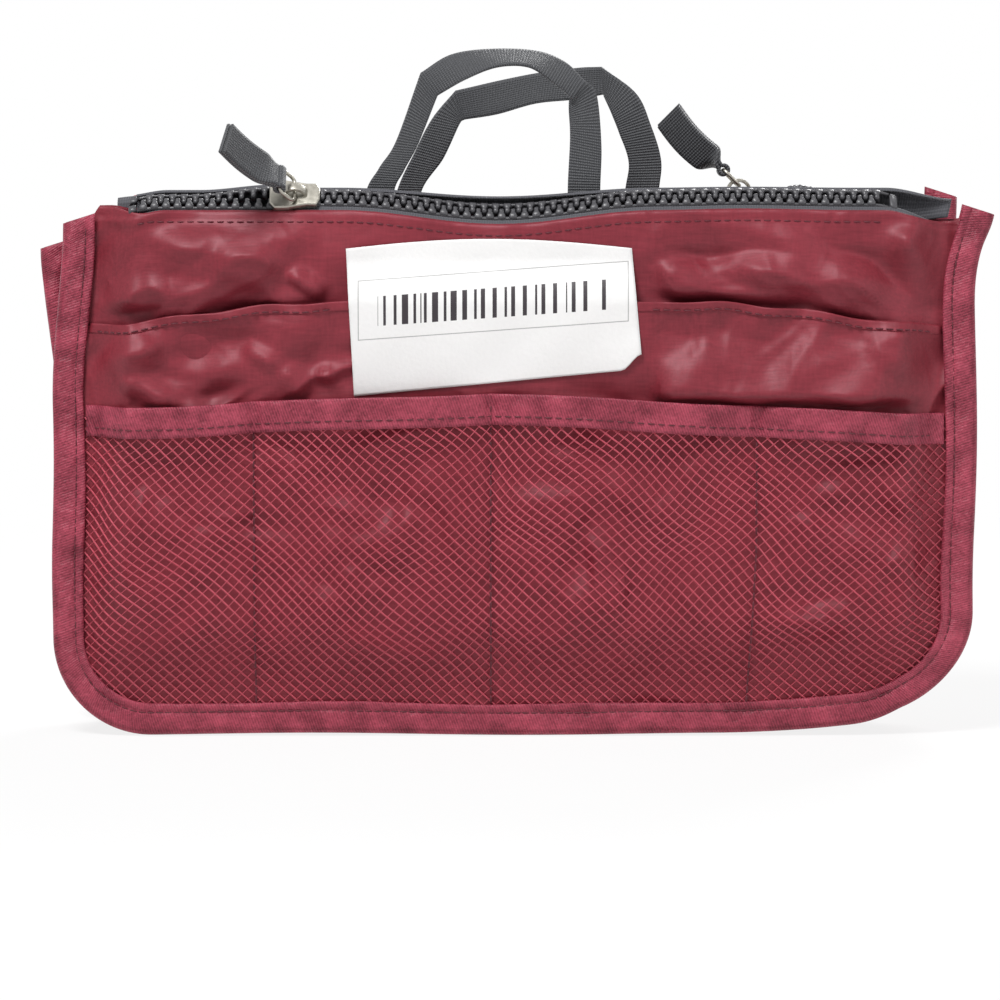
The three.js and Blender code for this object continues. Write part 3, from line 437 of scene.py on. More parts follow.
def paper_finish():
    """Coated paper with faint fibre, a thin grey frame and plain upright bars that stand for nothing."""
    f = new_finish("white paper label")
    _, x, z = f.cloth_mm()
    slant = z - x * 0.072

    def box(left, right, low, high):
        """1 inside a box that leans with the label, else 0."""
        return (x > left) * (x < right) * (slant > low) * (slant < high)

    frame_line = box(-41.8, 42.4, -7.6, 11.0) - box(-41.5, 42.1, -7.3, 10.7)
    rhythm = x.wave(3.1) * 0.5 + x.wave(1.9) * 0.3 + x.wave(4.7) * 0.35
    ink = box(-35.6, 35.8, -3.4, 5.8) * (rhythm > 0.66) + frame_line * 0.55
    fibre = f.noise(f.place_mm(), 1.2, 4.0)
    broad = f.noise(f.place_mm(), 24.0, 2.0)
    paper = f.shade(fibre * 0.5 + broad * 0.5, (0.78, 0.775, 0.77), (0.88, 0.875, 0.87))
    colour = f.shade(ink, paper, (0.03, 0.022, 0.028))
    return f.surface(base_color=colour, roughness=0.42, normal=f.bump(fibre * 0.2 + broad, 0.5))


def thread_finish(name, low, high):
    """Sewing thread: two tones in a twist."""
    f = new_finish(name)
    tone = f.noise(f.place_mm(), 0.7, 2.0)
    return f.surface(base_color=f.shade(tone, low, high), roughness=0.6, sheen_weight=0.03,
                     normal=f.bump(tone, 0.08))


NYLON = nylon_finish()
TWILL = binding_finish()
NET = net_finish()
STRAP = webbing_finish()
ZIP_CLOTH = tape_finish()
MOULDED = teeth_finish()
NICKEL = nickel_finish()
PAPER = paper_finish()
RED_THREAD = thread_finish("burgundy thread", (0.055, 0.004, 0.010), (0.14, 0.014, 0.026))
GREY_THREAD = thread_finish("grey thread", (0.05, 0.05, 0.055), (0.13, 0.13, 0.14))


def quads(index):
    """Quads over a grid of vertex numbers, or over many grids along the first axes."""
    corners = [index[..., :-1, :-1], index[..., :-1, 1:], index[..., 1:, 1:], index[..., 1:, :-1]]
    return np.stack(corners, -1).reshape(-1, 4)


def quad_caps(caps):
    """Quads over end rings of an even number of corners, from one side across to the other."""
    return np.array([[ring[k], ring[k + 1], ring[-2 - k], ring[-1 - k]] for ring in caps
                     for k in range(len(ring) // 2 - 1)])


def tiled(faces, count, size):
    """The faces of one small shape of so many points, repeated for so many copies of it."""
    return (faces[None] + np.arange(count)[:, None, None] * size).reshape(-1, 4)


def volume(points, faces):
    """Signed volume of a closed mesh of quads, by the tetrahedra of its triangles with the origin."""
    a, b, c, d = (points[faces[:, k]] for k in range(4))
    return (np.einsum("ij,ij->i", a, np.cross(b, c)) + np.einsum("ij,ij->i", a, np.cross(c, d))).sum()


def thick(grid, depth):
    """The two faces of a sheet: its middle grid moved half the depth along its normals, both ways."""
    normal = unit(np.cross(np.gradient(grid, axis=0), np.gradient(grid, axis=1)))
    return grid + normal * depth / 2, grid - normal * depth / 2


def slab(face, back, uv):
    """Closed sheet between two grids of points: both faces and the rim that joins them."""
    rows, columns = face.shape[:2]
    count = rows * columns
    index = np.arange(count).reshape(rows, columns)
    rim = np.concatenate([index[0], index[1:, -1], index[-1, -2::-1], index[-2:0:-1, 0]])
    turn = np.roll(rim, -1)
    side = np.stack([turn, rim, rim + count, turn + count], 1)
    faces = np.concatenate([quads(index), quads(index)[:, ::-1] + count, side])
    points = np.concatenate([face.reshape(-1, 3), back.reshape(-1, 3)])
    return points, faces, np.concatenate([uv.reshape(-1, 2)] * 2), ()


def lengths(grid):
    """Lengths across and along a grid, from its middle row and column, as a UV grid."""
    across, along = travelled(grid[grid.shape[0] // 2]), travelled(grid[:, grid.shape[1] // 2])
    return np.stack(np.meshgrid(across - across[-1] / 2, along), -1)


def sheet_mesh(grid, depth):
    """Closed sheet of a given depth about its middle grid, with its own lengths as UV."""
    return slab(*thick(grid, depth), lengths(grid))


def rings(sections, uv=None, loop=False):
    """Skin over rows of closed sections. A loop joins its last row to its first, otherwise each end gets a cap."""
    rows, around = sections.shape[:2]
    index = np.arange(rows * around).reshape(rows, around)
    grid = np.concatenate([index, index[:, :1]], 1)
    if loop:
        grid = np.concatenate([grid, grid[:1]], 0)
    if uv is None:
        uv = stacked(np.arange(around)[None, :] / around, travelled(sections.mean(1))[:, None])
    caps = [] if loop else [index[0][::-1].tolist(), index[-1].tolist()]
    return sections.reshape(-1, 3), quads(grid), uv.reshape(-1, 2), caps


def new_object(name, data):
    """An object with this data, at the origin of the scene."""
    made = bpy.data.objects.new(name, data)
    bpy.context.scene.collection.objects.link(made)
    return made


def piece(name, shape, material):
    """A mesh object at the origin from points in millimetres, turned outward by its signed volume."""
    points, faces, uv, caps = shape
    if volume(points, faces) < 0:
        faces = faces[:, ::-1]
        caps = [cap[::-1] for cap in caps]
    mesh = bpy.data.meshes.new(name)
    mesh.from_pydata((points * MM).tolist(), [], faces.tolist() + list(caps))
    layer = mesh.uv_layers.new(name="cloth")
    corner = np.empty(len(mesh.loops), np.int32)
    mesh.loops.foreach_get("vertex_index", corner)
    layer.data.foreach_set("uv", uv[corner].astype(np.float32).ravel())
    mesh.polygons.foreach_set("use_smooth", np.ones(len(mesh.polygons), bool))
    mesh.materials.append(material)
    mesh.update()
    return new_object(name, mesh)


def add(name, shape, material, body, slot, *nodes):
    """A piece that rides on a body, with the nodes it stands for. Its slot is not used."""
    made = piece(name, shape, material)
    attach(made, body)
    if nodes:
        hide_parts(*nodes)
    return made


def along_path(path, at):
    """Points of a polyline at the given lengths, and its direction there."""
    total, look = travelled(path), 0.6

    def point(where):
        """The polyline's points at these lengths."""
        return np.stack([np.interp(where, total, column) for column in path.T], -1)

    return point(at), unit(point(at + look) - point(at - look))


def stitch_row(name, paths, facing, material, size, body, slot="binding"):
    """Running stitches: short capsules laid along each path, half sunk, their ends dipping into the cloth."""
    length, gap, radius = size
    turns = np.linspace(0, 2 * np.pi, 7)[:-1]
    stations = [[-0.5, 0.25, -0.7], [-0.38, 0.8, 0.1], [0.0, 1.0, 0.35], [0.38, 0.8, 0.1], [0.5, 0.25, -0.7]]
    along, fat, lift = np.array(stations).T[..., None]
    capsule = stacked(along * length, np.cos(turns) * fat * radius, np.sin(turns) * fat * radius + lift * radius)
    base, faces, uv, caps = rings(capsule)
    found, frames = [], []
    for path in paths:
        point, way = along_path(path, np.arange(length, travelled(path)[-1] - length, length + gap))
        side = unit(np.cross(np.broadcast_to(np.asarray(facing, float), way.shape), way))
        found.append(point)
        frames.append(np.stack([way, side, np.cross(way, side)], -1))
    where = np.concatenate(found)
    points = np.einsum("kj,nij->nki", base, np.concatenate(frames)) + where[:, None]
    faces = tiled(np.concatenate([faces, quad_caps(caps)]), len(where), len(base))
    add(name, (points.reshape(-1, 3), faces, np.tile(uv, (len(where), 1)), ()), material, body, slot)


def sew(wall, name, paths, size=HEM_STITCH):
    """Stitches in the cloth's own colour on the outside of a wall."""
    stitch_row(f"{wall.name}_{name}", paths, (0, -wall.turn, 0), RED_THREAD, size, wall.body)


def edge_path(wall, count):
    """Left side, bottom and right side of a wall by arc length: two straight runs, two quarter circles and the base,
    with a slight swing of the sides and their flare at the top. Gives x, z, the direction inward and the length."""
    left, right = wall.corners
    top_left, top_right = wall.tops
    base = 2 * HALF_WIDTH - left - right
    runs = np.array([top_left - left, left * np.pi / 2, base, right * np.pi / 2, top_right - right])
    ends = np.cumsum(runs)
    s = np.linspace(0, ends[-1], count)
    a = np.pi + np.clip((s - ends[0]) / runs[1], 0, 1) * np.pi / 2
    b = -np.pi / 2 + np.clip((s - ends[2]) / runs[3], 0, 1) * np.pi / 2
    span = [s < end for end in ends[:4]]
    x = np.select(span, [-HALF_WIDTH + 0 * s, left - HALF_WIDTH + left * np.cos(a), s - ends[1] + left - HALF_WIDTH,
                         HALF_WIDTH - right + right * np.cos(b)], HALF_WIDTH)
    z = np.select(span, [top_left - s, left + left * np.sin(a), 0 * s, right + right * np.sin(b)],
                  s - ends[3] + right)
    in_x = np.select(span, [1 + 0 * s, -np.cos(a), 0 * s, -np.cos(b)], -1.0)
    in_z = np.select(span, [0 * s, -np.sin(a), 1 + 0 * s, -np.sin(b)], 0.0)
    low = 0.35 * (1 + np.sin(s / 21.0 + wall.seed)) * smooth(1 - z / 12)
    return x + side_swing(wall, x, z), z + low, in_x, in_z, s


def side_swing(wall, x, z):
    """Sideways drift of a wall's edges: a slow wave up the sides and the flare near the top, none at mid width."""
    wave = 0.7 * np.sin(z / 19.0 + wall.seed) * smooth((z - 30) / 40)
    reach = smooth((np.abs(x) - 60) / 80)
    left, right = (far * smooth((z - start) / over) ** power for far, start, over, power in wall.flare)
    return reach * (wave + np.where(x < 0, -left, right))


def side_line(half, radius, foot, z):
    """Half width of a flat cut at height z: a quarter circle from its foot up, then straight."""
    up = np.clip(z - foot, 0, radius)
    return half - radius + np.sqrt(np.maximum(radius ** 2 - (radius - up) ** 2, 0))


def sheet_x(wall, a, z):
    """Sideways place on a sheet: a from -1 to 1 between its two edges, drawn in round the lower corners."""
    left, right = (side_line(SHEET_HALF, radius - EDGE_INSET, EDGE_INSET, z) for radius in wall.corners)
    x = np.where(a < 0, a * left, a * right)
    return x + side_swing(wall, x, z)


def side_swell(flat_x):
    """0 in the bound seam, 1 clear of it, by the distance from the sheet's side edges."""
    return smooth((SHEET_HALF - np.abs(flat_x) - LIP + EASE_START) / (SIDE_EASE + EASE_START))


def swell(flat_x, z):
    """0 in the bound seam, 1 clear of it, by the distance from the side edges and from the bottom one."""
    return side_swell(flat_x) * smooth((z - EDGE_INSET - LIP + EASE_START) / (BOTTOM_EASE + EASE_START))


def sag(wall, x):
    """How far the zipper's line strays from its height: slack dips and rises between the places where the slider
    rests or stops, and the ends sinking to the binding."""
    if wall is FRONT:
        slack = -4.3 * bell(x, -54, 45) + 0.5 * bell(x, 42, 103)
        return slack - 2.4 * smooth((-x - 111) / 15) - 5.6 * smooth((x - 112) / 20)
    return -2.4 * bell(x, -62, 104) + 2.6 * bell(x, -103, -79) - 2.0 * smooth((np.abs(x) - 114) / 18)


def shoulder(wall, x):
    """How far a panel's top edge rises or drops at its two ends, where it runs into the binding."""
    left, right = wall.shoulders
    return left * smooth((-x - 116) / 14) + right * smooth((x - 116) / 14)


def under_binding(wall, x, z):
    """A top line kept just below the ends of the edge tape where it runs into it."""
    inside = np.abs(x) - (SHEET_HALF - LIP + EASE_START)
    return np.minimum(z, np.where(x < 0, *wall.tops) - 0.8 - np.where(inside > 0, 0.36, 2.2) * inside)


def ripple(x, z, seed, size):
    """Slow unevenness: a sum of eight sine waves of random direction with lengths round the given size."""
    rng = np.random.default_rng(seed)
    turn = rng.uniform(0, np.pi, 8)
    wave = 2 * np.pi / (size * rng.uniform(0.6, 1.7, 8))
    phase = rng.uniform(0, 2 * np.pi, 8)
    arg = (x[..., None] * np.cos(turn) + z[..., None] * np.sin(turn)) * wave + phase
    return np.sin(arg).mean(-1)


def creases(x, z, lines):
    """Sum of folds with flat sides. Each is highest along a line between two points, falls straight to nothing over
    the width of either side, rounded at crest and foot, and fades at both ends. Rows: x0, z0, x1, z1, height, width
    on the left of the line, width on its right."""
    x0, z0, x1, z1, height, left, right = np.asarray(lines, float).T
    dx, dz = x1 - x0, z1 - z0
    length = np.hypot(dx, dz)
    t = ((x[..., None] - x0) * dx + (z[..., None] - z0) * dz) / length ** 2
    d = ((z[..., None] - z0) * dx - (x[..., None] - x0) * dz) / length
    fade = smooth((t + 0.12) / 0.4) * smooth((1.12 - t) / 0.4)
    fall = 1 - (np.sqrt(d * d + 0.2) - 0.45) / np.where(d > 0, left, right)
    return (height * fade * (fall + np.sqrt(fall * fall + 0.012)) / 2).sum(-1)


def random_creases(seed, count, box, height, slant=0.5):
    """Creases scattered in a box (x0, z0, x1, z1), most of them slanting, some hollow."""
    rng = np.random.default_rng(seed)
    x = rng.uniform(box[0], box[2], count)
    z = rng.uniform(box[1], box[3], count)
    turn = rng.normal(0, slant, count) + np.where(rng.random(count) < 0.5, 0.75, -0.6)
    half = rng.uniform(9, 27, count)
    tall = rng.uniform(0.35, 1.0, count) * height * np.where(rng.random(count) < 0.7, 1, -0.7)
    left, right = rng.uniform(4.0, 11.0, count), rng.uniform(3.0, 7.0, count)
    dx, dz = half * np.cos(turn), half * np.sin(turn)
    return np.stack([x - dx, z - dz, x + dx, z + dz, tall, left, right], -1)


def grid_of(columns, rows, top, crowd=1.0):
    """Sheet grid: a from -1 to 1 with closer columns at the sides, rows from the lower edge to the top line over a,
    closer together at the top where crowd is below 1."""
    t = np.linspace(-1, 1, columns)
    a = np.sin(t * np.pi / 2) * 0.35 + t * 0.65
    z = SHEET_LOW + (top(a * SHEET_HALF) - SHEET_LOW) * np.linspace(0, 1, rows)[:, None] ** crowd
    return np.broadcast_to(a, z.shape), z


def panel_out(seam, full, flat_x, z):
    """How far a plain panel stands out: from its place in the bound seam to its full distance."""
    return seam + (full - seam) * swell(flat_x, z)


def hem_line(flat_x):
    """Mouth of the slip pocket: highest in the middle, falling to the sides, gathered in small scallops."""
    scallop = 0.45 * np.sin(flat_x / 4.6) * smooth((np.abs(flat_x) - 35) / 30)
    return SLIP_TOP + 2.6 - 8.5 * smooth((np.abs(flat_x) - 55) / 95) + scallop


SLIP_CREASES = np.concatenate([
    [[-124, 114.5, -105, 106.5, 2.4, 6.0, 4.0], [-133, 119, -111, 123, 2.8, 9.0, 6.0],
     [-117, 107, -95, 105, 2.0, 7.0, 4.0], [-84, 123.6, -73, 118, 1.4, 3.5, 3.0],
     [-61, 116.5, -51, 111.8, 1.7, 3.5, 3.0], [-71, 118, -66, 108, 1.6, 5.0, 4.0],
     [-104, 122, -78, 128, -1.8, 7.0, 7.0], [42, 129, 59, 126, -1.3, 9.0, 9.0],
     [60, 128.5, 82, 124.5, -1.5, 10.0, 9.0], [96, 128, 112, 124, -1.0, 8.0, 7.0],
     [112, 124, 133, 112, 1.8, 9.0, 5.0], [36, 109.5, 134, 108.5, 4.4, 20.0, 3.0]],
    random_creases(11, 10, (-130, 104, 130, 130), 0.9),
    random_creases(17, 60, (-128, 16, 128, 98), 2.4, 0.9),
])
OUTER_CREASES = np.concatenate([
    [[-111.5, 133, -79, 150.5, 3.4, 10.0, 4.5], [-133, 136.5, -110, 141, 3.6, 18.0, 4.0],
     [-114, 156.5, -73, 149.5, 2.2, 7.5, 9.0], [-70, 147, -59, 140, 1.8, 4.0, 3.0],
     [-100, 140, -60, 137, 1.0, 5.0, 4.0], [64, 152, 119, 135.5, 3.8, 15.0, 6.0],
     [96, 163, 128, 137, -3.0, 9.0, 8.0], [117, 161, 133, 142, 2.4, 5.0, 8.0],
     [42, 142.5, 92, 139.5, 2.0, 9.0, 3.0], [44, 157, 88, 153, -2.0, 7.0, 7.0]],
    random_creases(23, 10, (-130, 134, 130, 162), 0.9),
])


def label_cover(x, z):
    """1 under the paper label, fading out just beyond it."""
    left, right, low = LABEL_COVER
    return smooth((x - left) / LABEL_FADE) * smooth((right - x) / LABEL_FADE) * smooth((z - low) / LABEL_FADE)


def outer_out(wall, flat_x, z):
    """Outer panel of a wall: full distance above the bound seam, with slack creases where it shows, never behind
    the tape sewn inside its top."""
    out = panel_out(OUTER_SEAM, wall.outer, flat_x, z)
    top = wall.outer_fold[1]
    free = side_swell(flat_x) * smooth((z - 114) / 14) * smooth((top - 1 - z) / 7)
    least = -0.2 - 4.0 * smooth((top - 9 - z) / 9)
    if wall is FRONT:
        slack = 1.8 * creases(flat_x, z, OUTER_CREASES) + 4.6 * ripple(flat_x, z, 5, 34)
        slack = np.minimum(soft_max(slack, least), 1.3 + 0.45 * np.maximum(z - hem_line(flat_x), 0))
        slack = slack * (1 - 0.85 * label_cover(flat_x, z))
    else:
        folds = creases(flat_x, z, random_creases(31, 40, (-130, 112, 130, 166), 1.4))
        slack = soft_max(folds + 1.2 * ripple(flat_x, z, 6, 45), least)
    return out - 0.75 * np.clip(z - top - sag(wall, flat_x), 0, 0.9) + free * slack


def slip_out(flat_x, z):
    """Front slip pocket: close to the panel below the net's mouth, gaping toward its hem, creased all over."""
    base = FRONT.outer + LAYER
    open_up = (SLIP_GAPE - POCKET_SLACK) * np.clip((z - MESH_TOP) / (SLIP_TOP - MESH_TOP), 0, 1.15)
    wave = 0.25 * np.cos(flat_x / 31.0 + 0.8) * smooth((-flat_x - 48) / 10)
    gape = 0.55 - 0.25 * smooth((flat_x - 40) / 20) + wave
    out = base + POCKET_SLACK + np.where(z > MESH_TOP, open_up * gape, 0)
    under = smooth((MESH_TOP - 2 - z) / 8)
    slack = 1.6 * creases(flat_x, z, SLIP_CREASES) + 3.2 * ripple(flat_x, z, 9, 30)
    held = under * mesh_lobe(flat_x) + (1 - under) * side_swell(flat_x)
    slack = soft_max(slack, -0.5 - 3.0 * smooth((z - MESH_TOP) / 20))
    slack = np.minimum(slack, np.where(under > 0.5, 4.2 * mesh_lobe(flat_x), 9.0))
    out = out + slack * held * (1 - 0.9 * label_cover(flat_x, z))
    return panel_out(SLIP_SEAM, out, flat_x, z)


def lobe(flat_x, seams):
    """Slack of a pocket between its sewn lines: 0 on each line, 1 midway, full over most of the cell."""
    edge = SHEET_HALF - LIP
    lines = np.array([-edge, *seams, edge])
    cell = np.clip(np.searchsorted(lines, flat_x) - 1, 0, len(lines) - 2)
    t = np.clip((flat_x - lines[cell]) / (lines[cell + 1] - lines[cell]), 0, 1)
    return np.clip(np.sqrt(np.sin(np.pi * t) + 0.0025) - 0.05, 0, 1)


def mesh_lobe(flat_x):
    """Slack of the net pocket between its sewn lines."""
    return lobe(flat_x, MESH_SEAMS)


def mesh_top(flat_x):
    """Mouth of the net pocket: a blunt peak near the middle, falling to both sides."""
    away = np.sqrt((flat_x - MESH_PEAK) ** 2 + 225) - 15
    return MESH_TOP + 4.2 - away * np.where(flat_x < MESH_PEAK, 0.042, 0.054) + 0.3 * np.sin(flat_x / 13.0)


def mesh_out(flat_x, z):
    """Net pocket: out to its lobes, which open toward the mouth, with a few slack dents."""
    base = FRONT.outer + 2 * LAYER + POCKET_SLACK
    open_up = 0.6 + 0.4 * np.clip((z - EDGE_INSET) / (MESH_TOP - BAND_HEIGHT - EDGE_INSET), 0, 1)
    dent = 1 - 0.22 * smooth(0.5 + ripple(flat_x, z, 14, 34)) * smooth((100 - z) / 20)
    return panel_out(NET_SEAM, base + MESH_GAPE * open_up * mesh_lobe(flat_x) * dent, flat_x, z)


def back_pocket_out(flat_x, z):
    """Back pocket: two lobes beside its middle seam, creased, its mouth standing open."""
    base = BACK.outer + LAYER
    open_up = 0.6 + 0.4 * np.clip((z - EDGE_INSET) / (BACK_POCKET_TOP - BAND_HEIGHT - EDGE_INSET), 0, 1)
    folds = creases(flat_x, z, random_creases(41, 80, (-128, 14, 128, 104), 0.9, 0.8))
    slack = np.clip(folds + 0.8 * ripple(flat_x, z, 12, 40), -1.6, 2.2) * smooth((106 - z) / 14)
    out = base + (MESH_GAPE * open_up + slack) * lobe(flat_x, BACK_POCKET_SEAMS)
    return panel_out(SLIP_SEAM, out, flat_x, z)


def back_pocket_top(flat_x):
    """Mouth of the back pocket: a shallow arch, slightly uneven."""
    return BACK_POCKET_TOP + 0.8 - 0.0002 * flat_x ** 2 + 0.3 * np.sin(flat_x / 15.0)


def inner_out(wall, flat_x, z):
    """Inner panel: bowed a little toward the middle, with soft creases from the zipper down."""
    seed = 51 if wall is FRONT else 57
    folds = creases(flat_x, z, random_creases(seed, 50, (-126, 20, 126, 160), 0.8, 0.7))
    slack = np.clip(folds + 0.9 * ripple(flat_x, z, seed, 48), -1.4, 1.4)
    free = swell(flat_x, z) * smooth((wall.inner_fold[1] - 24 - z) / 16)
    return panel_out(INNER_SEAM, wall.inner, flat_x, z) - free * slack


def cloth_sheet(wall, name, node, grid, out):
    """A sewn sheet from its grid of (a, z) and the rule for its distance out, with a thickness."""
    a, z = grid
    points = place(wall, sheet_x(wall, a, z), out(a * SHEET_HALF, z), z)
    made = add(f"{wall.name}_{name}", sheet_mesh(points, CLOTH), NYLON, wall.body, "nylon", f"{wall.name}_{node}")


def panels(wall):
    """Outer and inner panel of a wall, up to the folded tapes of its zipper."""

    def top(height, x):
        """A panel's top line: its height with the zipper's slack and its shoulders, kept under the edge tape."""
        return under_binding(wall, x, height + sag(wall, x) + shoulder(wall, x))

    grid = grid_of(250, 130, partial(top, wall.outer_fold[1] + 0.9), 0.62)
    cloth_sheet(wall, "outer_cloth", "outer_panel", grid, partial(outer_out, wall))
    grid = grid_of(170, 80, partial(top, wall.height - 3.0))
    cloth_sheet(wall, "inner_cloth", "inner_panel", grid, partial(inner_out, wall))


def hem_roll(wall, name, line, out, material, height, depth, *nodes):
    """Folded hem or edge tape along a mouth: a flat loop of cloth over the sheet's top edge, rounded above."""
    a = np.linspace(-1, 1, 220)[:, None] * (SHEET_HALF - LIP + 0.6) / SHEET_HALF
    flat_x = a * SHEET_HALF
    turn = np.linspace(0, np.pi, 7)
    leg = np.linspace(-height, 0, 9)
    lift = np.concatenate([leg[:-1], np.sin(turn) * depth, leg[-2::-1]])
    off = np.concatenate([np.full(8, depth), np.cos(turn) * depth, np.full(8, -depth)])
    z = line(flat_x) + lift
    where = out(np.broadcast_to(flat_x, z.shape), np.minimum(z, line(flat_x)))
    sections = place(wall, sheet_x(wall, a, z), where + off, z)
    slot = "binding" if material is TWILL else "nylon"
    add(f"{wall.name}_{name}", rings(sections, stacked(lift, flat_x)), material, wall.body, slot, *nodes)


def mouth_path(wall, line, out, drop, lift):
    """Line on a sheet's outer face a given drop below its mouth."""
    a = np.linspace(-1, 1, 400) * (SHEET_HALF - LIP - 1) / SHEET_HALF
    flat_x = a * SHEET_HALF
    z = line(flat_x) - drop
    return place(wall, sheet_x(wall, a, z), out(flat_x, z) + lift, z)


def mouth_tape(wall, name, node, line, out):
    """Tape folded over a pocket's mouth and the row of stitches that holds it."""
    hem_roll(wall, name, line, out, TWILL, BAND_HEIGHT, BAND_HALF, f"{wall.name}_{node}")
    sew(wall, "band_stitches", [mouth_path(wall, line, out, *BAND_SEWN)])


def front_pockets():
    """Slip pocket with its hem, sewn on both sides of the label, and the tape on the net pocket's mouth."""
    cloth_sheet(FRONT, "slip_cloth", "slip_pocket", grid_of(300, 130, hem_line), slip_out)
    hem_roll(FRONT, "slip_hem", hem_line, slip_out, NYLON, HEM_HEIGHT, HEM_HALF)
    row = mouth_path(FRONT, hem_line, slip_out, *HEM_SEWN)
    sew(FRONT, "slip_stitches", [row[row[:, 0] < LABEL_ROOM[0]], row[row[:, 0] > LABEL_ROOM[1]]])
    mouth_tape(FRONT, "mesh_edge_tape", "mesh_band", mesh_top, mesh_out)


def net():
    """Diamond net: two families of straight strands over the flat cut, each a five-sided cord laid on the pocket's
    surface, one family just over the other, clipped where the cut ends. Its flat area is that of the straight
    strands, each its length times half its girth."""
    wide, tall = NET_CELL
    lean = wide / tall
    turns = np.linspace(0, 2 * np.pi, 6)[:, None]
    oval = np.concatenate([np.cos(turns), np.sin(turns)], 1) * NET_OVAL
    across, high = oval[:-1].T[..., None]
    z = np.linspace(NET_LOW, NET_HIGH, 500)
    left, right = (side_line(SHEET_HALF - NET_INSET, radius - NET_INSET, NET_LOW, z) for radius in FRONT.corners)
    tubes, flat_area = [], 0.0
    for way, strand in ((1, NET_THIN * NET_STRAND), (-1, NET_STRAND)):
        start = np.arange(-NET_LINES, NET_LINES + 1) * wide - way * NET_MIDDLE * lean
        x = start[:, None] + way * lean * (z - NET_LOW)
        good = (x > -left) & (x < right) & (z < mesh_top(x) - NET_UNDER)
        keep = good.sum(1) > 12
        first, last = good.argmax(1)[keep], good.shape[1] - 1 - good[:, ::-1].argmax(1)[keep]
        strand_z = z[first][:, None] + (z[last] - z[first])[:, None] * np.linspace(0, 1, 64)
        strand_x = start[keep][:, None] + way * lean * (strand_z - NET_LOW)
        weave = 0.16 * way * np.cos(np.pi * (strand_x / wide + strand_z / tall)) + 0.12 * way
        pulled = smooth((strand_z - 12) / 20) * smooth((right.max() - np.abs(strand_x)) / 16)
        pulled = pulled * smooth((mesh_top(strand_x) - NET_UNDER - strand_z) / 14)
        drift_x = 3.2 * ripple(strand_x, strand_z, 61, 52) * pulled
        drift_z = 2.6 * ripple(strand_x, strand_z, 62, 46) * pulled
        out = mesh_out(np.clip(strand_x, -SHEET_HALF, SHEET_HALF), strand_z) + weave
        middle = place(FRONT, strand_x + side_swing(FRONT, strand_x, strand_z) + drift_x, out, strand_z + drift_z)
        ahead = unit(np.gradient(middle, axis=1))
        side = unit(np.cross(ahead, [0.0, 1.0, 0.0]))
        spread = side[..., None, :] * across + np.cross(side, ahead)[..., None, :] * high
        tubes.append(middle[..., None, :] + spread * strand / 2)
        flat_area += (z[last] - z[first]).sum() * math.hypot(1, lean) * travelled(oval)[-1] / 2 * strand / 2
    tubes = np.concatenate(tubes)
    count, rows, around = tubes.shape[:3]
    index = np.arange(count * rows * around).reshape(count, rows, around)
    faces = quads(np.concatenate([index, index[..., :1]], -1))
    caps = index[:, 0, ::-1].tolist() + index[:, -1].tolist()
    uv = stacked(np.arange(around) / around, np.linspace(0, 110, rows)[:, None] + np.zeros((count, 1, 1)))
    shape = tubes.reshape(-1, 3), faces, uv.reshape(-1, 2), caps
    made = add("front_net", shape, NET, "front_wall", "net", "front_mesh_pocket")
    paths = []
    for line in MESH_SEAMS:
        z = np.linspace(SEAM_FOOT, mesh_top(np.array(line)), 160)
        flat_x = np.full_like(z, line) - 0.05 * (line > 0) * np.maximum(60 - z, 0)
        over_band = 0.5 * smooth(z - mesh_top(flat_x) + BAND_HEIGHT + 0.5)
        out = mesh_out(flat_x, np.minimum(z, mesh_top(flat_x))) + 0.45 + over_band
        paths.append(place(FRONT, flat_x, out, z))
    sew(FRONT, "net_seams", paths, NET_STITCH)


def back_pockets():
    """Back pocket, the tape on its mouth and its middle seam."""
    cloth_sheet(BACK, "slip_cloth", "slip_pocket", grid_of(220, 110, back_pocket_top), back_pocket_out)
    mouth_tape(BACK, "pocket_edge_tape", "pocket_band", back_pocket_top, back_pocket_out)
    z = np.linspace(SEAM_FOOT, BACK_POCKET_TOP, 160)
    sew(BACK, "pocket_seam", [place(BACK, 0 * z, back_pocket_out(0 * z, z) + 0.3, z)], POCKET_STITCH)


def binding(wall):
    """Tape folded round a wall's edge: its section, a narrow U with a rolled lip and a sewn groove on the outside,
    carried along the edge."""
    turn = np.linspace(-np.pi / 2, np.pi / 2, 9)
    spine = np.stack([1.2 * (1 - np.cos(turn)), np.sin(turn) * BINDING_HALF], -1)
    upper = np.array([[1.2, 2.40], [2.6, 2.44], [4.6, 2.40], [6.2, 2.32], [6.9, 2.10], [STITCH_LINE, 1.92],
                      [7.7, 2.12], [8.4, 2.46], [9.2, 2.56], [9.8, 2.40], [10.15, 2.05], [10.0, SLOT], [6.0, SLOT],
                      [1.2, SLOT], [0.8, 0.8]])
    outline = np.concatenate([spine, upper, upper[::-1] * [1, -1]])
    deep, high = outline.T
    x, z, in_x, in_z, s = (column[:, None] for column in edge_path(wall, 360))
    fullness = 1 + 0.06 * np.sin(s / 8.0 + wall.seed) + 0.05 * np.sin(s / 3.7)
    inward = deep + 0.25 * np.sin(s / 12.0) * (deep > 6)
    out = high * np.where(np.abs(high) > SLOT, fullness, 1)
    cut = 0.32 * np.minimum(inward - 10, 0) * smooth((z - np.where(x < 0, *wall.tops) + 16) / 16)
    sections = place(wall, x + in_x * inward, out, np.maximum(z + in_z * inward + cut, 0.02))
    shape = rings(sections, stacked(travelled(outline), s))
    add(wall.name + "_edge_tape", shape, TWILL, wall.body, "binding", wall.name + "_binding")
    row = place(wall, x + in_x * STITCH_LINE, 2.0, z + in_z * STITCH_LINE)[2:-2, 0]
    sew(wall, "edge_stitches", [row], EDGE_STITCH)


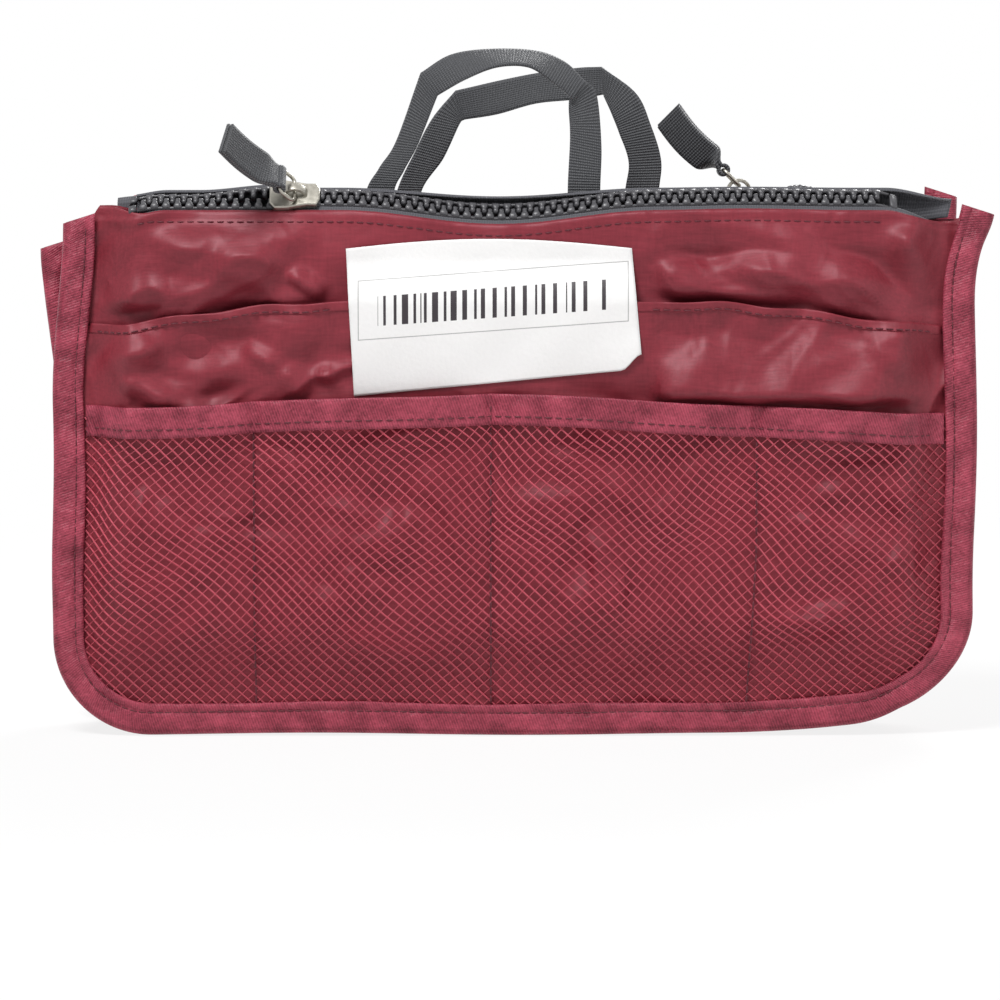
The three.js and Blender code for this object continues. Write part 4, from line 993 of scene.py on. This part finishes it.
def parting(wall, x):
    """How far each tooth row stands off the closed line: apart on the open side of the slider."""
    return PARTING * np.clip((wall.slider + PARTING_HALF - x) / (2 * PARTING_HALF), 0, 1)


def open_drop(wall, x, inner):
    """How far the front's inner row hangs below the outer one where the zipper is open."""
    return 2.4 * smooth((wall.slider - 6 - x) / 26) * (inner and wall is FRONT)


def chain_place(wall, x, across, up, inner):
    """World points from the chain's own frame: along it, across it toward the inside, and up from its face."""
    c, s = math.cos(wall.tilt), math.sin(wall.tilt)
    out = CHAIN_OUT - across * c + up * s
    return place(wall, x, out, wall.height + across * s + up * c + sag(wall, x) - open_drop(wall, x, inner))


def zip_tape(wall, inner):
    """Zipper tape: its section runs up the panel, turns over a soft fold and lies flat to the chain's edge,
    carried along the chain with its slack. The inner one turns down close behind the chain."""
    if inner:
        side, sign, fold, full, seam, gap, share = "inner", 1, wall.inner_fold, wall.inner, INNER_SEAM, 0.0, 0.6
    else:
        side, sign, fold, full, seam, gap, share = "outer", -1, wall.outer_fold, wall.outer, OUTER_SEAM, 0.25, 0.3
    c, s = math.cos(wall.tilt), math.sin(wall.tilt)
    x = np.linspace(*wall.tape_ends, 260)
    follow = side_swell(x)
    skirt = seam + (full - seam) * follow + sign * (TAPE_TO_PANEL + gap)
    reach = CHAIN_HALF + 0.2 + parting(wall, x)
    end = np.stack([skirt + (CHAIN_OUT - sign * reach * c - fold[0]) * follow, wall.height + sign * reach * s], -1)
    if inner:
        tuck = reach + 1.4
        turn_out, turn_z = skirt + (CHAIN_OUT - tuck * c - fold[0]) * follow, wall.height + tuck * s
        knee_z = turn_z - 0.9 * (turn_out - skirt) * s
        corner = np.stack([turn_out, turn_z + 0.5], -1)
    else:
        knee_z = np.full_like(x, fold[1])
        corner = np.stack([skirt, knee_z], -1)
    t = np.linspace(0, 1, 8)[:, None]
    low = stacked(skirt[:, None], knee_z[:, None] - SKIRT + (SKIRT - 1.2) * t[:, 0])
    begin, corner, end = low[:, -1:], corner[:, None], end[:, None]
    after = corner + (end - corner) * share
    bend = (1 - t) ** 2 * begin + 2 * t * (1 - t) * corner + t ** 2 * after
    section = np.concatenate([low, bend[:, 1:], (after + (end - after) * t)[:, 1:]], 1)
    ease = np.clip((section[..., 1] - (fold[1] - SKIRT)) / SKIRT, 0, 1)
    z = section[..., 1] + (sag(wall, x) - open_drop(wall, x, inner))[:, None] * ease
    points = place(wall, x[:, None] + side_swing(wall, x[:, None], z), section[..., 0], z)
    shape = sheet_mesh(points, TAPE)
    add(f"{wall.name}_zip_cloth_{side}", shape, ZIP_CLOTH, wall.body, "zip_tape", f"{wall.name}_zip_tape_{side}")


def teeth(wall, inner):
    """Row of moulded teeth: one rounded tooth, wide at the tape and swelling again at its head, set down along the
    chain, plus the corded edge that the teeth grip."""
    side, sign, shift = ("inner", 1, 0.5) if inner else ("outer", -1, 0.0)
    half = np.array([[-3.1, 1.15], [-2.2, 1.32], [-1.3, 0.95], [-0.75, 0.66], [0.0, 0.80], [0.45, 0.78], [0.8, 0.42]])
    outline = np.concatenate([half, half[::-1] * [1, -1]])
    middle = outline.mean(0)
    levels = [[-TOOTH_HALF, 0.80], [-0.9, 1.0], [0.75, 1.0], [1.15, 0.88], [TOOTH_HALF + 0.15, 0.55]]
    height, size = np.array(levels).T[..., None]
    tooth = stacked(*(middle[k] + (outline - middle)[:, k] * size for k in range(2)), height)
    base, faces, uv, caps = rings(tooth)
    room = CHAIN_END - STOP - STOP_GAP - TOOTH_ROOM
    x = (np.arange(math.ceil(-room / TOOTH_PITCH), math.floor(room / TOOTH_PITCH - 0.5) + 1) + shift) * TOOTH_PITCH
    across = sign * (parting(wall, x)[:, None] - base[:, 0])
    points = chain_place(wall, base[:, 1] + x[:, None], across, base[:, 2], inner).reshape(-1, 3)
    faces = tiled(np.concatenate([faces, quad_caps(caps)]), len(x), len(base))
    run = np.linspace(-CHAIN_END + STOP, CHAIN_END - STOP, 240)[:, None]
    turns = np.linspace(0, 2 * np.pi, 9)[:-1]
    across = sign * (CHAIN_HALF - 0.35 + parting(wall, run) + 0.55 * np.cos(turns))
    cord, cord_faces, cord_uv, caps = rings(chain_place(wall, run, across, 0.75 * np.sin(turns), inner))
    faces = np.concatenate([faces, np.concatenate([cord_faces, quad_caps(caps)]) + len(points)])
    uv = np.concatenate([np.tile(uv, (len(x), 1)), cord_uv])
    shape = np.concatenate([points, cord]), faces, uv, ()
    add(f"{wall.name}_moulded_teeth_{side}", shape, MOULDED, wall.body, "teeth", f"{wall.name}_zip_teeth_{side}")


def pull_place(wall, points):
    """World points from the pull's own frame: x from the crown's eye along the pull, y across it, z off its face."""
    x, y, z = np.moveaxis(points, -1, 0)
    along, rise = math.cos(wall.pull_angle), math.sin(wall.pull_angle)
    up = x * rise + z * along + EYE_HEIGHT
    c, s = math.cos(wall.tilt), math.sin(wall.tilt)
    return place(wall, x * along - z * rise + wall.slider, CHAIN_OUT - y * c + up * s, wall.height + y * s + up * c)


def bail(wall):
    """Wire bail: a round wire along a rounded rectangle."""
    far, half = BAIL_LENGTH - BAIL_CORNER, BAIL_WIDTH / 2 - BAIL_CORNER
    path = []
    for k, centre in enumerate(((far, half), (BAIL_CORNER, half), (BAIL_CORNER, -half), (far, -half))):
        turn = np.linspace(0, np.pi / 2, 7) + k * np.pi / 2
        path.append(centre + BAIL_CORNER * np.stack([np.cos(turn), np.sin(turn)], -1))
    path = np.concatenate(path)
    ahead = unit(np.roll(path, -1, 0) - np.roll(path, 1, 0))
    turn = np.linspace(0, 2 * np.pi, 13)[:-1]
    reach, lift = np.cos(turn) * BAIL_WIRE / 2, np.sin(turn) * BAIL_WIRE / 2
    sections = stacked(path[:, :1] + ahead[:, 1:] * reach, path[:, 1:] - ahead[:, :1] * reach, lift)
    shape = rings(pull_place(wall, sections), loop=True)
    add(wall.name + "_bail_wire", shape, NICKEL, wall.name + "_pull", "nickel", wall.name + "_pull_bail")


def pull_tab(wall):
    """Webbing tab folded double round the bail's outer bar: in along the upper leaf, round the bar and out along the
    lower one, narrower at the neck, then twisted and bowed along its length."""
    eye = BAIL_WIRE / 2 + PULL_ROOM + WEBBING / 2
    tip = BAIL_LENGTH + PULL_LENGTH
    meet = math.asin(PULL_LEAF / eye)
    arc = np.linspace(meet, 2 * np.pi - meet, 17)[1:-1]
    run = np.linspace(0, 1, 34)
    start = BAIL_LENGTH + eye * math.cos(meet)
    along = np.concatenate([tip + (start - tip) * run, BAIL_LENGTH + eye * np.cos(arc),
                            start + (tip - 0.5 - start) * run])
    height = np.concatenate([np.full(34, PULL_LEAF), eye * np.sin(arc), np.full(34, -PULL_LEAF)])
    clear = BAIL_LENGTH + eye + WEBBING / 2
    wide = PULL_NECK + (WEBBING_WIDTH - PULL_NECK) * smooth((along - clear) / (PULL_LENGTH * 0.22))
    flat = stacked(along[:, None], wide[:, None] / 2 * np.linspace(-1, 1, 13), height[:, None])
    order = np.argsort(along)
    curl = wall.pull_bow * np.sin(np.pi * np.clip((along - clear) / (tip - clear), 0, 1))

    def bend(points):
        """World points of the flat tab after its twist and bow."""
        x, y, z = np.moveaxis(points, -1, 0)
        turn = wall.pull_twist * smooth((x - clear) / (tip - clear) / wall.twist_over)
        bow = np.interp(x, along[order], curl[order])
        across, off = y * np.cos(turn) - z * np.sin(turn), y * np.sin(turn) + z * np.cos(turn) + bow
        return pull_place(wall, np.stack([x, across, off], -1))

    face, back = thick(flat, WEBBING)
    shape, body = slab(bend(face), bend(back), lengths(flat)), wall.name + "_pull"
    add(wall.name + "_pull_webbing", shape, STRAP, body, "webbing", wall.name + "_pull_tab")
    at = BAIL_LENGTH + PULL_SEWN_AT
    row = stacked(at, np.linspace(-PULL_SEWN_HALF, PULL_SEWN_HALF, 30), PULL_LEAF + WEBBING / 2 + 0.05)
    foot, head = pull_place(wall, np.array([[at, 0.0, 0.0], [at, 0.0, 1.0]]))
    stitch_row(wall.name + "_pull_stitches", [bend(row)], head - foot, GREY_THREAD, PULL_STITCH, body, "webbing")


def through_rows(rows, steps):
    """Catmull-Rom curve through the rows of a table, every column at once."""
    rows = np.asarray(rows, float)
    padded = np.concatenate([2 * rows[:1] - rows[1:2], rows, 2 * rows[-1:] - rows[-2:-1]])
    t = np.linspace(0, 1, steps + 1)[:-1][None, :, None]
    p0, p1, p2, p3 = (padded[k:len(padded) - 3 + k, None] for k in range(4))
    square, cube = 2 * p0 - 5 * p1 + 4 * p2 - p3, 3 * p1 - p0 - 3 * p2 + p3
    curve = 0.5 * (2 * p1 + (p2 - p0) * t + square * t ** 2 + cube * t ** 3)
    return np.concatenate([curve.reshape(-1, rows.shape[1]), rows[-1:]])


def handle(wall):
    """Webbing handle: rows of points between the strap's two edges, sharp where it is folded over, bent above its
    sewn ends."""
    name, y = wall.name, wall.strap_y
    parts = [through_rows(rows, 12) for rows in wall.strap]
    rows = np.concatenate([parts[0]] + [part[1:] for part in parts[1:]])
    t = np.linspace(0, 1, 11)

    def mix(a, b):
        """Values across the strap from one column to another."""
        return rows[:, a:a + 1] * (1 - t) + rows[:, b:b + 1] * t

    crown = 0.12 * np.sin(np.pi * t)
    grid = np.stack([mix(0, 2), y - wall.turn * (mix(4, 5) + crown), mix(1, 3)], -1)
    uv = stacked((t - 0.5) * WEBBING_WIDTH, travelled(grid[:, 5])[:, None])
    made = piece(name + "_strap", slab(*thick(grid, WEBBING), uv), STRAP)
    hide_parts(name + "_handle_loop", name + "_handle_left_end", name + "_handle_right_end")
    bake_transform(made)
    paths = []
    for row in (wall.strap[0][0], wall.strap[-1][-1]):
        left, right = min(row[0], row[2]) + SEWN_INSET, max(row[0], row[2]) - SEWN_INSET
        box = np.array([[left, SEWN_LOW], [right, SEWN_LOW], [right, SEWN_HIGH], [left, SEWN_HIGH],
                        [left, SEWN_LOW], [right, SEWN_HIGH]])
        for a, b in zip(box[:-1], box[1:]):
            line = a + (b - a) * np.linspace(0, 1, 20)[:, None]
            paths.append(stacked(line[:, 0], y + wall.turn * (WEBBING / 2 + 0.05), line[:, 1]))
    stitch_row(name + "_handle_stitches", paths, (0, wall.turn, 0), GREY_THREAD, HANDLE_STITCH, wall.body, "webbing")


def gusset():
    """Gusset strip: its section, from one bound seam across to the other, flat under the floor and folded inward up
    the sides to a sharp middle pleat, carried round the edge of the walls."""
    fx, fz, f_in_x, f_in_z, s = (column[:, None] for column in edge_path(FRONT, 260))
    bx, bz, b_in_x, b_in_z, _ = (column[::-1, None] for column in edge_path(BACK, 260))
    w = np.linspace(0, 1, 61)
    folded = smooth((fz + bz) / 2 / FOLD_RISE)
    key = [0, 0.10, 0.17, 0.34, 0.5, 0.66, 0.83, 0.90, 1.0]

    def across(floor, walls):
        """A value over the strip's width, from its row under the floor to its row up the walls."""
        return np.interp(w, key, floor) * (1 - folded) + np.interp(w, key, walls) * folded

    knee, crest = 10.9 + PLEAT * 0.52, 10.7 + PLEAT
    inward = across([4.0, 7.0, 7.0, 0.4, 0.22, 0.4, 7.0, 7.0, 4.0],
                    [4.0, 10.7, 11.6, knee, crest, knee, 11.6, 10.7, 4.0])
    y = across([-GUSSET_HALF, -13.5, -12.2, -8.8, 0, 8.8, 12.2, 13.5, GUSSET_HALF],
               [-GUSSET_HALF, -13.4, -12.0, -6.4, 0, 6.4, 12.0, 13.4, GUSSET_HALF])
    kernel = np.array([1, 2, 3, 2, 1]) / 9
    calm = np.stack([np.convolve(np.pad(row, 2, mode="edge"), kernel, "valid") for row in inward])
    sharp = np.exp(-((w - 0.5) / 0.05) ** 2)
    hump = np.sin(np.pi * w)
    sway = ripple(np.broadcast_to(s, y.shape), y * 2.0, 71, 26) * hump * folded
    inward = calm * (1 - sharp) + inward * sharp + 1.1 * sway
    mix = (y + GUSSET_HALF) / (2 * GUSSET_HALF)
    x = (fx + f_in_x * inward) * (1 - mix) + (-bx - b_in_x * inward) * mix
    z = (fz + f_in_z * inward) * (1 - mix) + (bz + b_in_z * inward) * mix
    z = z - smooth((z - 140) / 28) * (3.4 + 3.0 * hump)
    grid = np.stack([x, y, np.maximum(z, 0.2) + corner_lift(x, z)], -1)
    made = piece("gusset_cloth", sheet_mesh(grid, CLOTH), NYLON)
    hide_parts("gusset")
    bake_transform(made)


def label():
    """Paper label: a bent sheet over the pocket's hem, slightly askew, one clipped corner, its top edge bowed."""
    t = np.linspace(0, 1, 71)[None, :]
    v = np.linspace(0, 1, 61)[:, None]
    left = LABEL_LEFT + 2.4 * (1 - v)
    right = LABEL_RIGHT + 3.0 * (1 - v)
    x = left + (right - left) * t
    bottom = LABEL_BOTTOM + 8.7 * t + 4.6 * smooth((t - 0.93) / 0.07)
    top = LABEL_TOP + 0.1 * t + 2.9 * np.sin(np.pi * t)
    z = bottom + (top - bottom) * v
    lower = slip_out(x, np.minimum(z, hem_line(x)))
    over = smooth((z - hem_line(x) + 1.0) / 15.0)
    out = lower * (1 - over) + outer_out(FRONT, x, z) * over + 0.62 + 0.5 * np.sin(np.pi * over)
    curl = 1.3 * smooth((0.16 - t) / 0.16) * smooth((v - 0.75) / 0.25)
    curl = curl + 0.9 * smooth((t - 0.86) / 0.14) * smooth((0.3 - v) / 0.3)
    points = place(FRONT, x, out + curl + 0.25 * ripple(x, z, 77, 40), z)
    uv = stacked(x - LABEL_MIDDLE[0], z - LABEL_MIDDLE[1])
    add("label_paper", slab(*thick(points, PAPER_DEPTH), uv), PAPER, "front_wall", "paper", "paper_label")


def top_stitches(wall):
    """Row of stitches under the folded top edge of the outer panel."""
    x = np.linspace(-TOP_SEWN_HALF, TOP_SEWN_HALF, 400)
    z = wall.outer_fold[1] - TOP_SEWN_DROP + sag(wall, x)
    sew(wall, "zip_stitches", [place(wall, x, outer_out(wall, x, z) + TOP_SEWN_LIFT, z)], ZIP_STITCH)


def slider(wall):
    """Cast slider: the part's own solid with softened edges."""
    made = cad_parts[wall.name + "_zip_slider"]
    made.data.materials.clear()
    made.data.materials.append(NICKEL)
    weld = made.modifiers.new("weld", "WELD")
    weld.merge_threshold = 1e-6
    bevel = made.modifiers.new("soft edges", "BEVEL")
    bevel.width = 0.28 * MM
    bevel.segments = 3
    bevel.limit_method = "ANGLE"
    bevel.angle_limit = math.radians(25)
    made.data.polygons.foreach_set("use_smooth", np.ones(len(made.data.polygons), bool))


def stops(wall):
    """Moulded stops: pillow blocks, a rounded rectangle that narrows toward its top and foot, gripping the tapes at
    the open end one by one and at the closed end both at once."""
    turn = np.linspace(0, 2 * np.pi, 25)[:-1]
    square_x, square_y = (np.sign(value) * np.abs(value) ** 0.45 for value in (np.cos(turn), np.sin(turn)))
    levels = [[-1.35, 0.72], [-1.05, 0.95], [0.0, 1.0], [1.0, 0.95], [1.4, 0.72]]
    up, size = np.array(levels).T[..., None]
    end = CHAIN_END - STOP / 2
    for name, inner, x, across, half in (("top_stop_outer", False, -end, -2.0 - PARTING, 1.3),
                                         ("top_stop_inner", True, -end, 2.0 + PARTING, 1.3),
                                         ("bottom_stop", False, end, 0.0, 3.0)):
        block = chain_place(wall, x + square_x * size * STOP / 2, across + square_y * size * half, up, inner)
        add(f"{wall.name}_moulded_{name}", rings(block), MOULDED, wall.body, "teeth", f"{wall.name}_zip_{name}")


def stage_and_light():
    """White floor that keeps the shadow, white surroundings, one lamp high at the left front and two weaker ones."""
    f = new_finish("white floor")
    where = f.place_mm()
    grain = f.noise(where, 60.0, 2.0)
    far = f.node("ShaderNodeVectorMath", {"operation": "LENGTH"}, {0: where}, output="Value").ramp(180.0, 620.0)
    shade = f.node("ShaderNodeBsdfDiffuse", inputs={"Color": f.shade(grain, (0.86, 0.86, 0.86), (0.9, 0.9, 0.9))})
    glow = f.node("ShaderNodeEmission", inputs={"Color": WHITE, "Strength": 1.0})
    mixed = f.node("ShaderNodeMixShader", inputs={0: f.seen() * (far * 0.16 + 0.84), 1: shade, 2: glow})
    f.node("ShaderNodeOutputMaterial", inputs={0: mixed})
    side = np.linspace(-FLOOR_HALF, FLOOR_HALF, FLOOR_LINES)
    points = stacked(side, side[:, None], -FLOOR_DROP).reshape(-1, 3)
    index = np.arange(FLOOR_LINES ** 2).reshape(FLOOR_LINES, FLOOR_LINES)
    mesh = bpy.data.meshes.new("floor")
    mesh.from_pydata((points * MM).tolist(), [], quads(index).tolist())
    mesh.materials.append(f.owner)
    new_object("floor", mesh)

    world = bpy.data.worlds.new("white room")
    bpy.context.scene.world = world
    w = Finish(world)
    fill, white = (w.node("ShaderNodeBackground", inputs={"Color": WHITE, "Strength": power})
                   for power in (FILL, 1.0))
    mixed = w.node("ShaderNodeMixShader", inputs={0: w.seen(), 1: fill, 2: white})
    w.node("ShaderNodeOutputWorld", inputs={0: mixed})

    for name, at, size, power in LAMPS:
        lamp = bpy.data.lights.new(name, "AREA")
        lamp.size = size
        lamp.energy = power
        made = new_object(name, lamp)
        made.location = at
        made.rotation_euler = (LAMP_TARGET - Vector(at)).to_track_quat("-Z", "Y").to_euler()


def camera():
    """Long lens in front of the bag, looking slightly down, framed as the photograph: 314 mm over its width."""
    back = Vector((0, -math.cos(VIEW_ELEVATION), math.sin(VIEW_ELEVATION)))
    data = bpy.data.cameras.new("camera")
    data.sensor_width = SENSOR
    data.lens = SENSOR * VIEW_DISTANCE / VIEW_WIDTH
    made = new_object("camera", data)
    made.location = VIEW_TARGET + back * VIEW_DISTANCE
    made.rotation_euler = (-back).to_track_quat("-Z", "Y").to_euler()
    bpy.context.scene.camera = made


for wall in (FRONT, BACK):
    binding(wall)
    panels(wall)
    for inner in (False, True):
        zip_tape(wall, inner)
        teeth(wall, inner)
    bail(wall)
    pull_tab(wall)
    slider(wall)
    stops(wall)
    top_stitches(wall)
front_pockets()
net()
back_pockets()
label()
handle(FRONT)
handle(BACK)
gusset()
stage_and_light()
camera()
bpy.context.scene.view_settings.view_transform = "Standard"
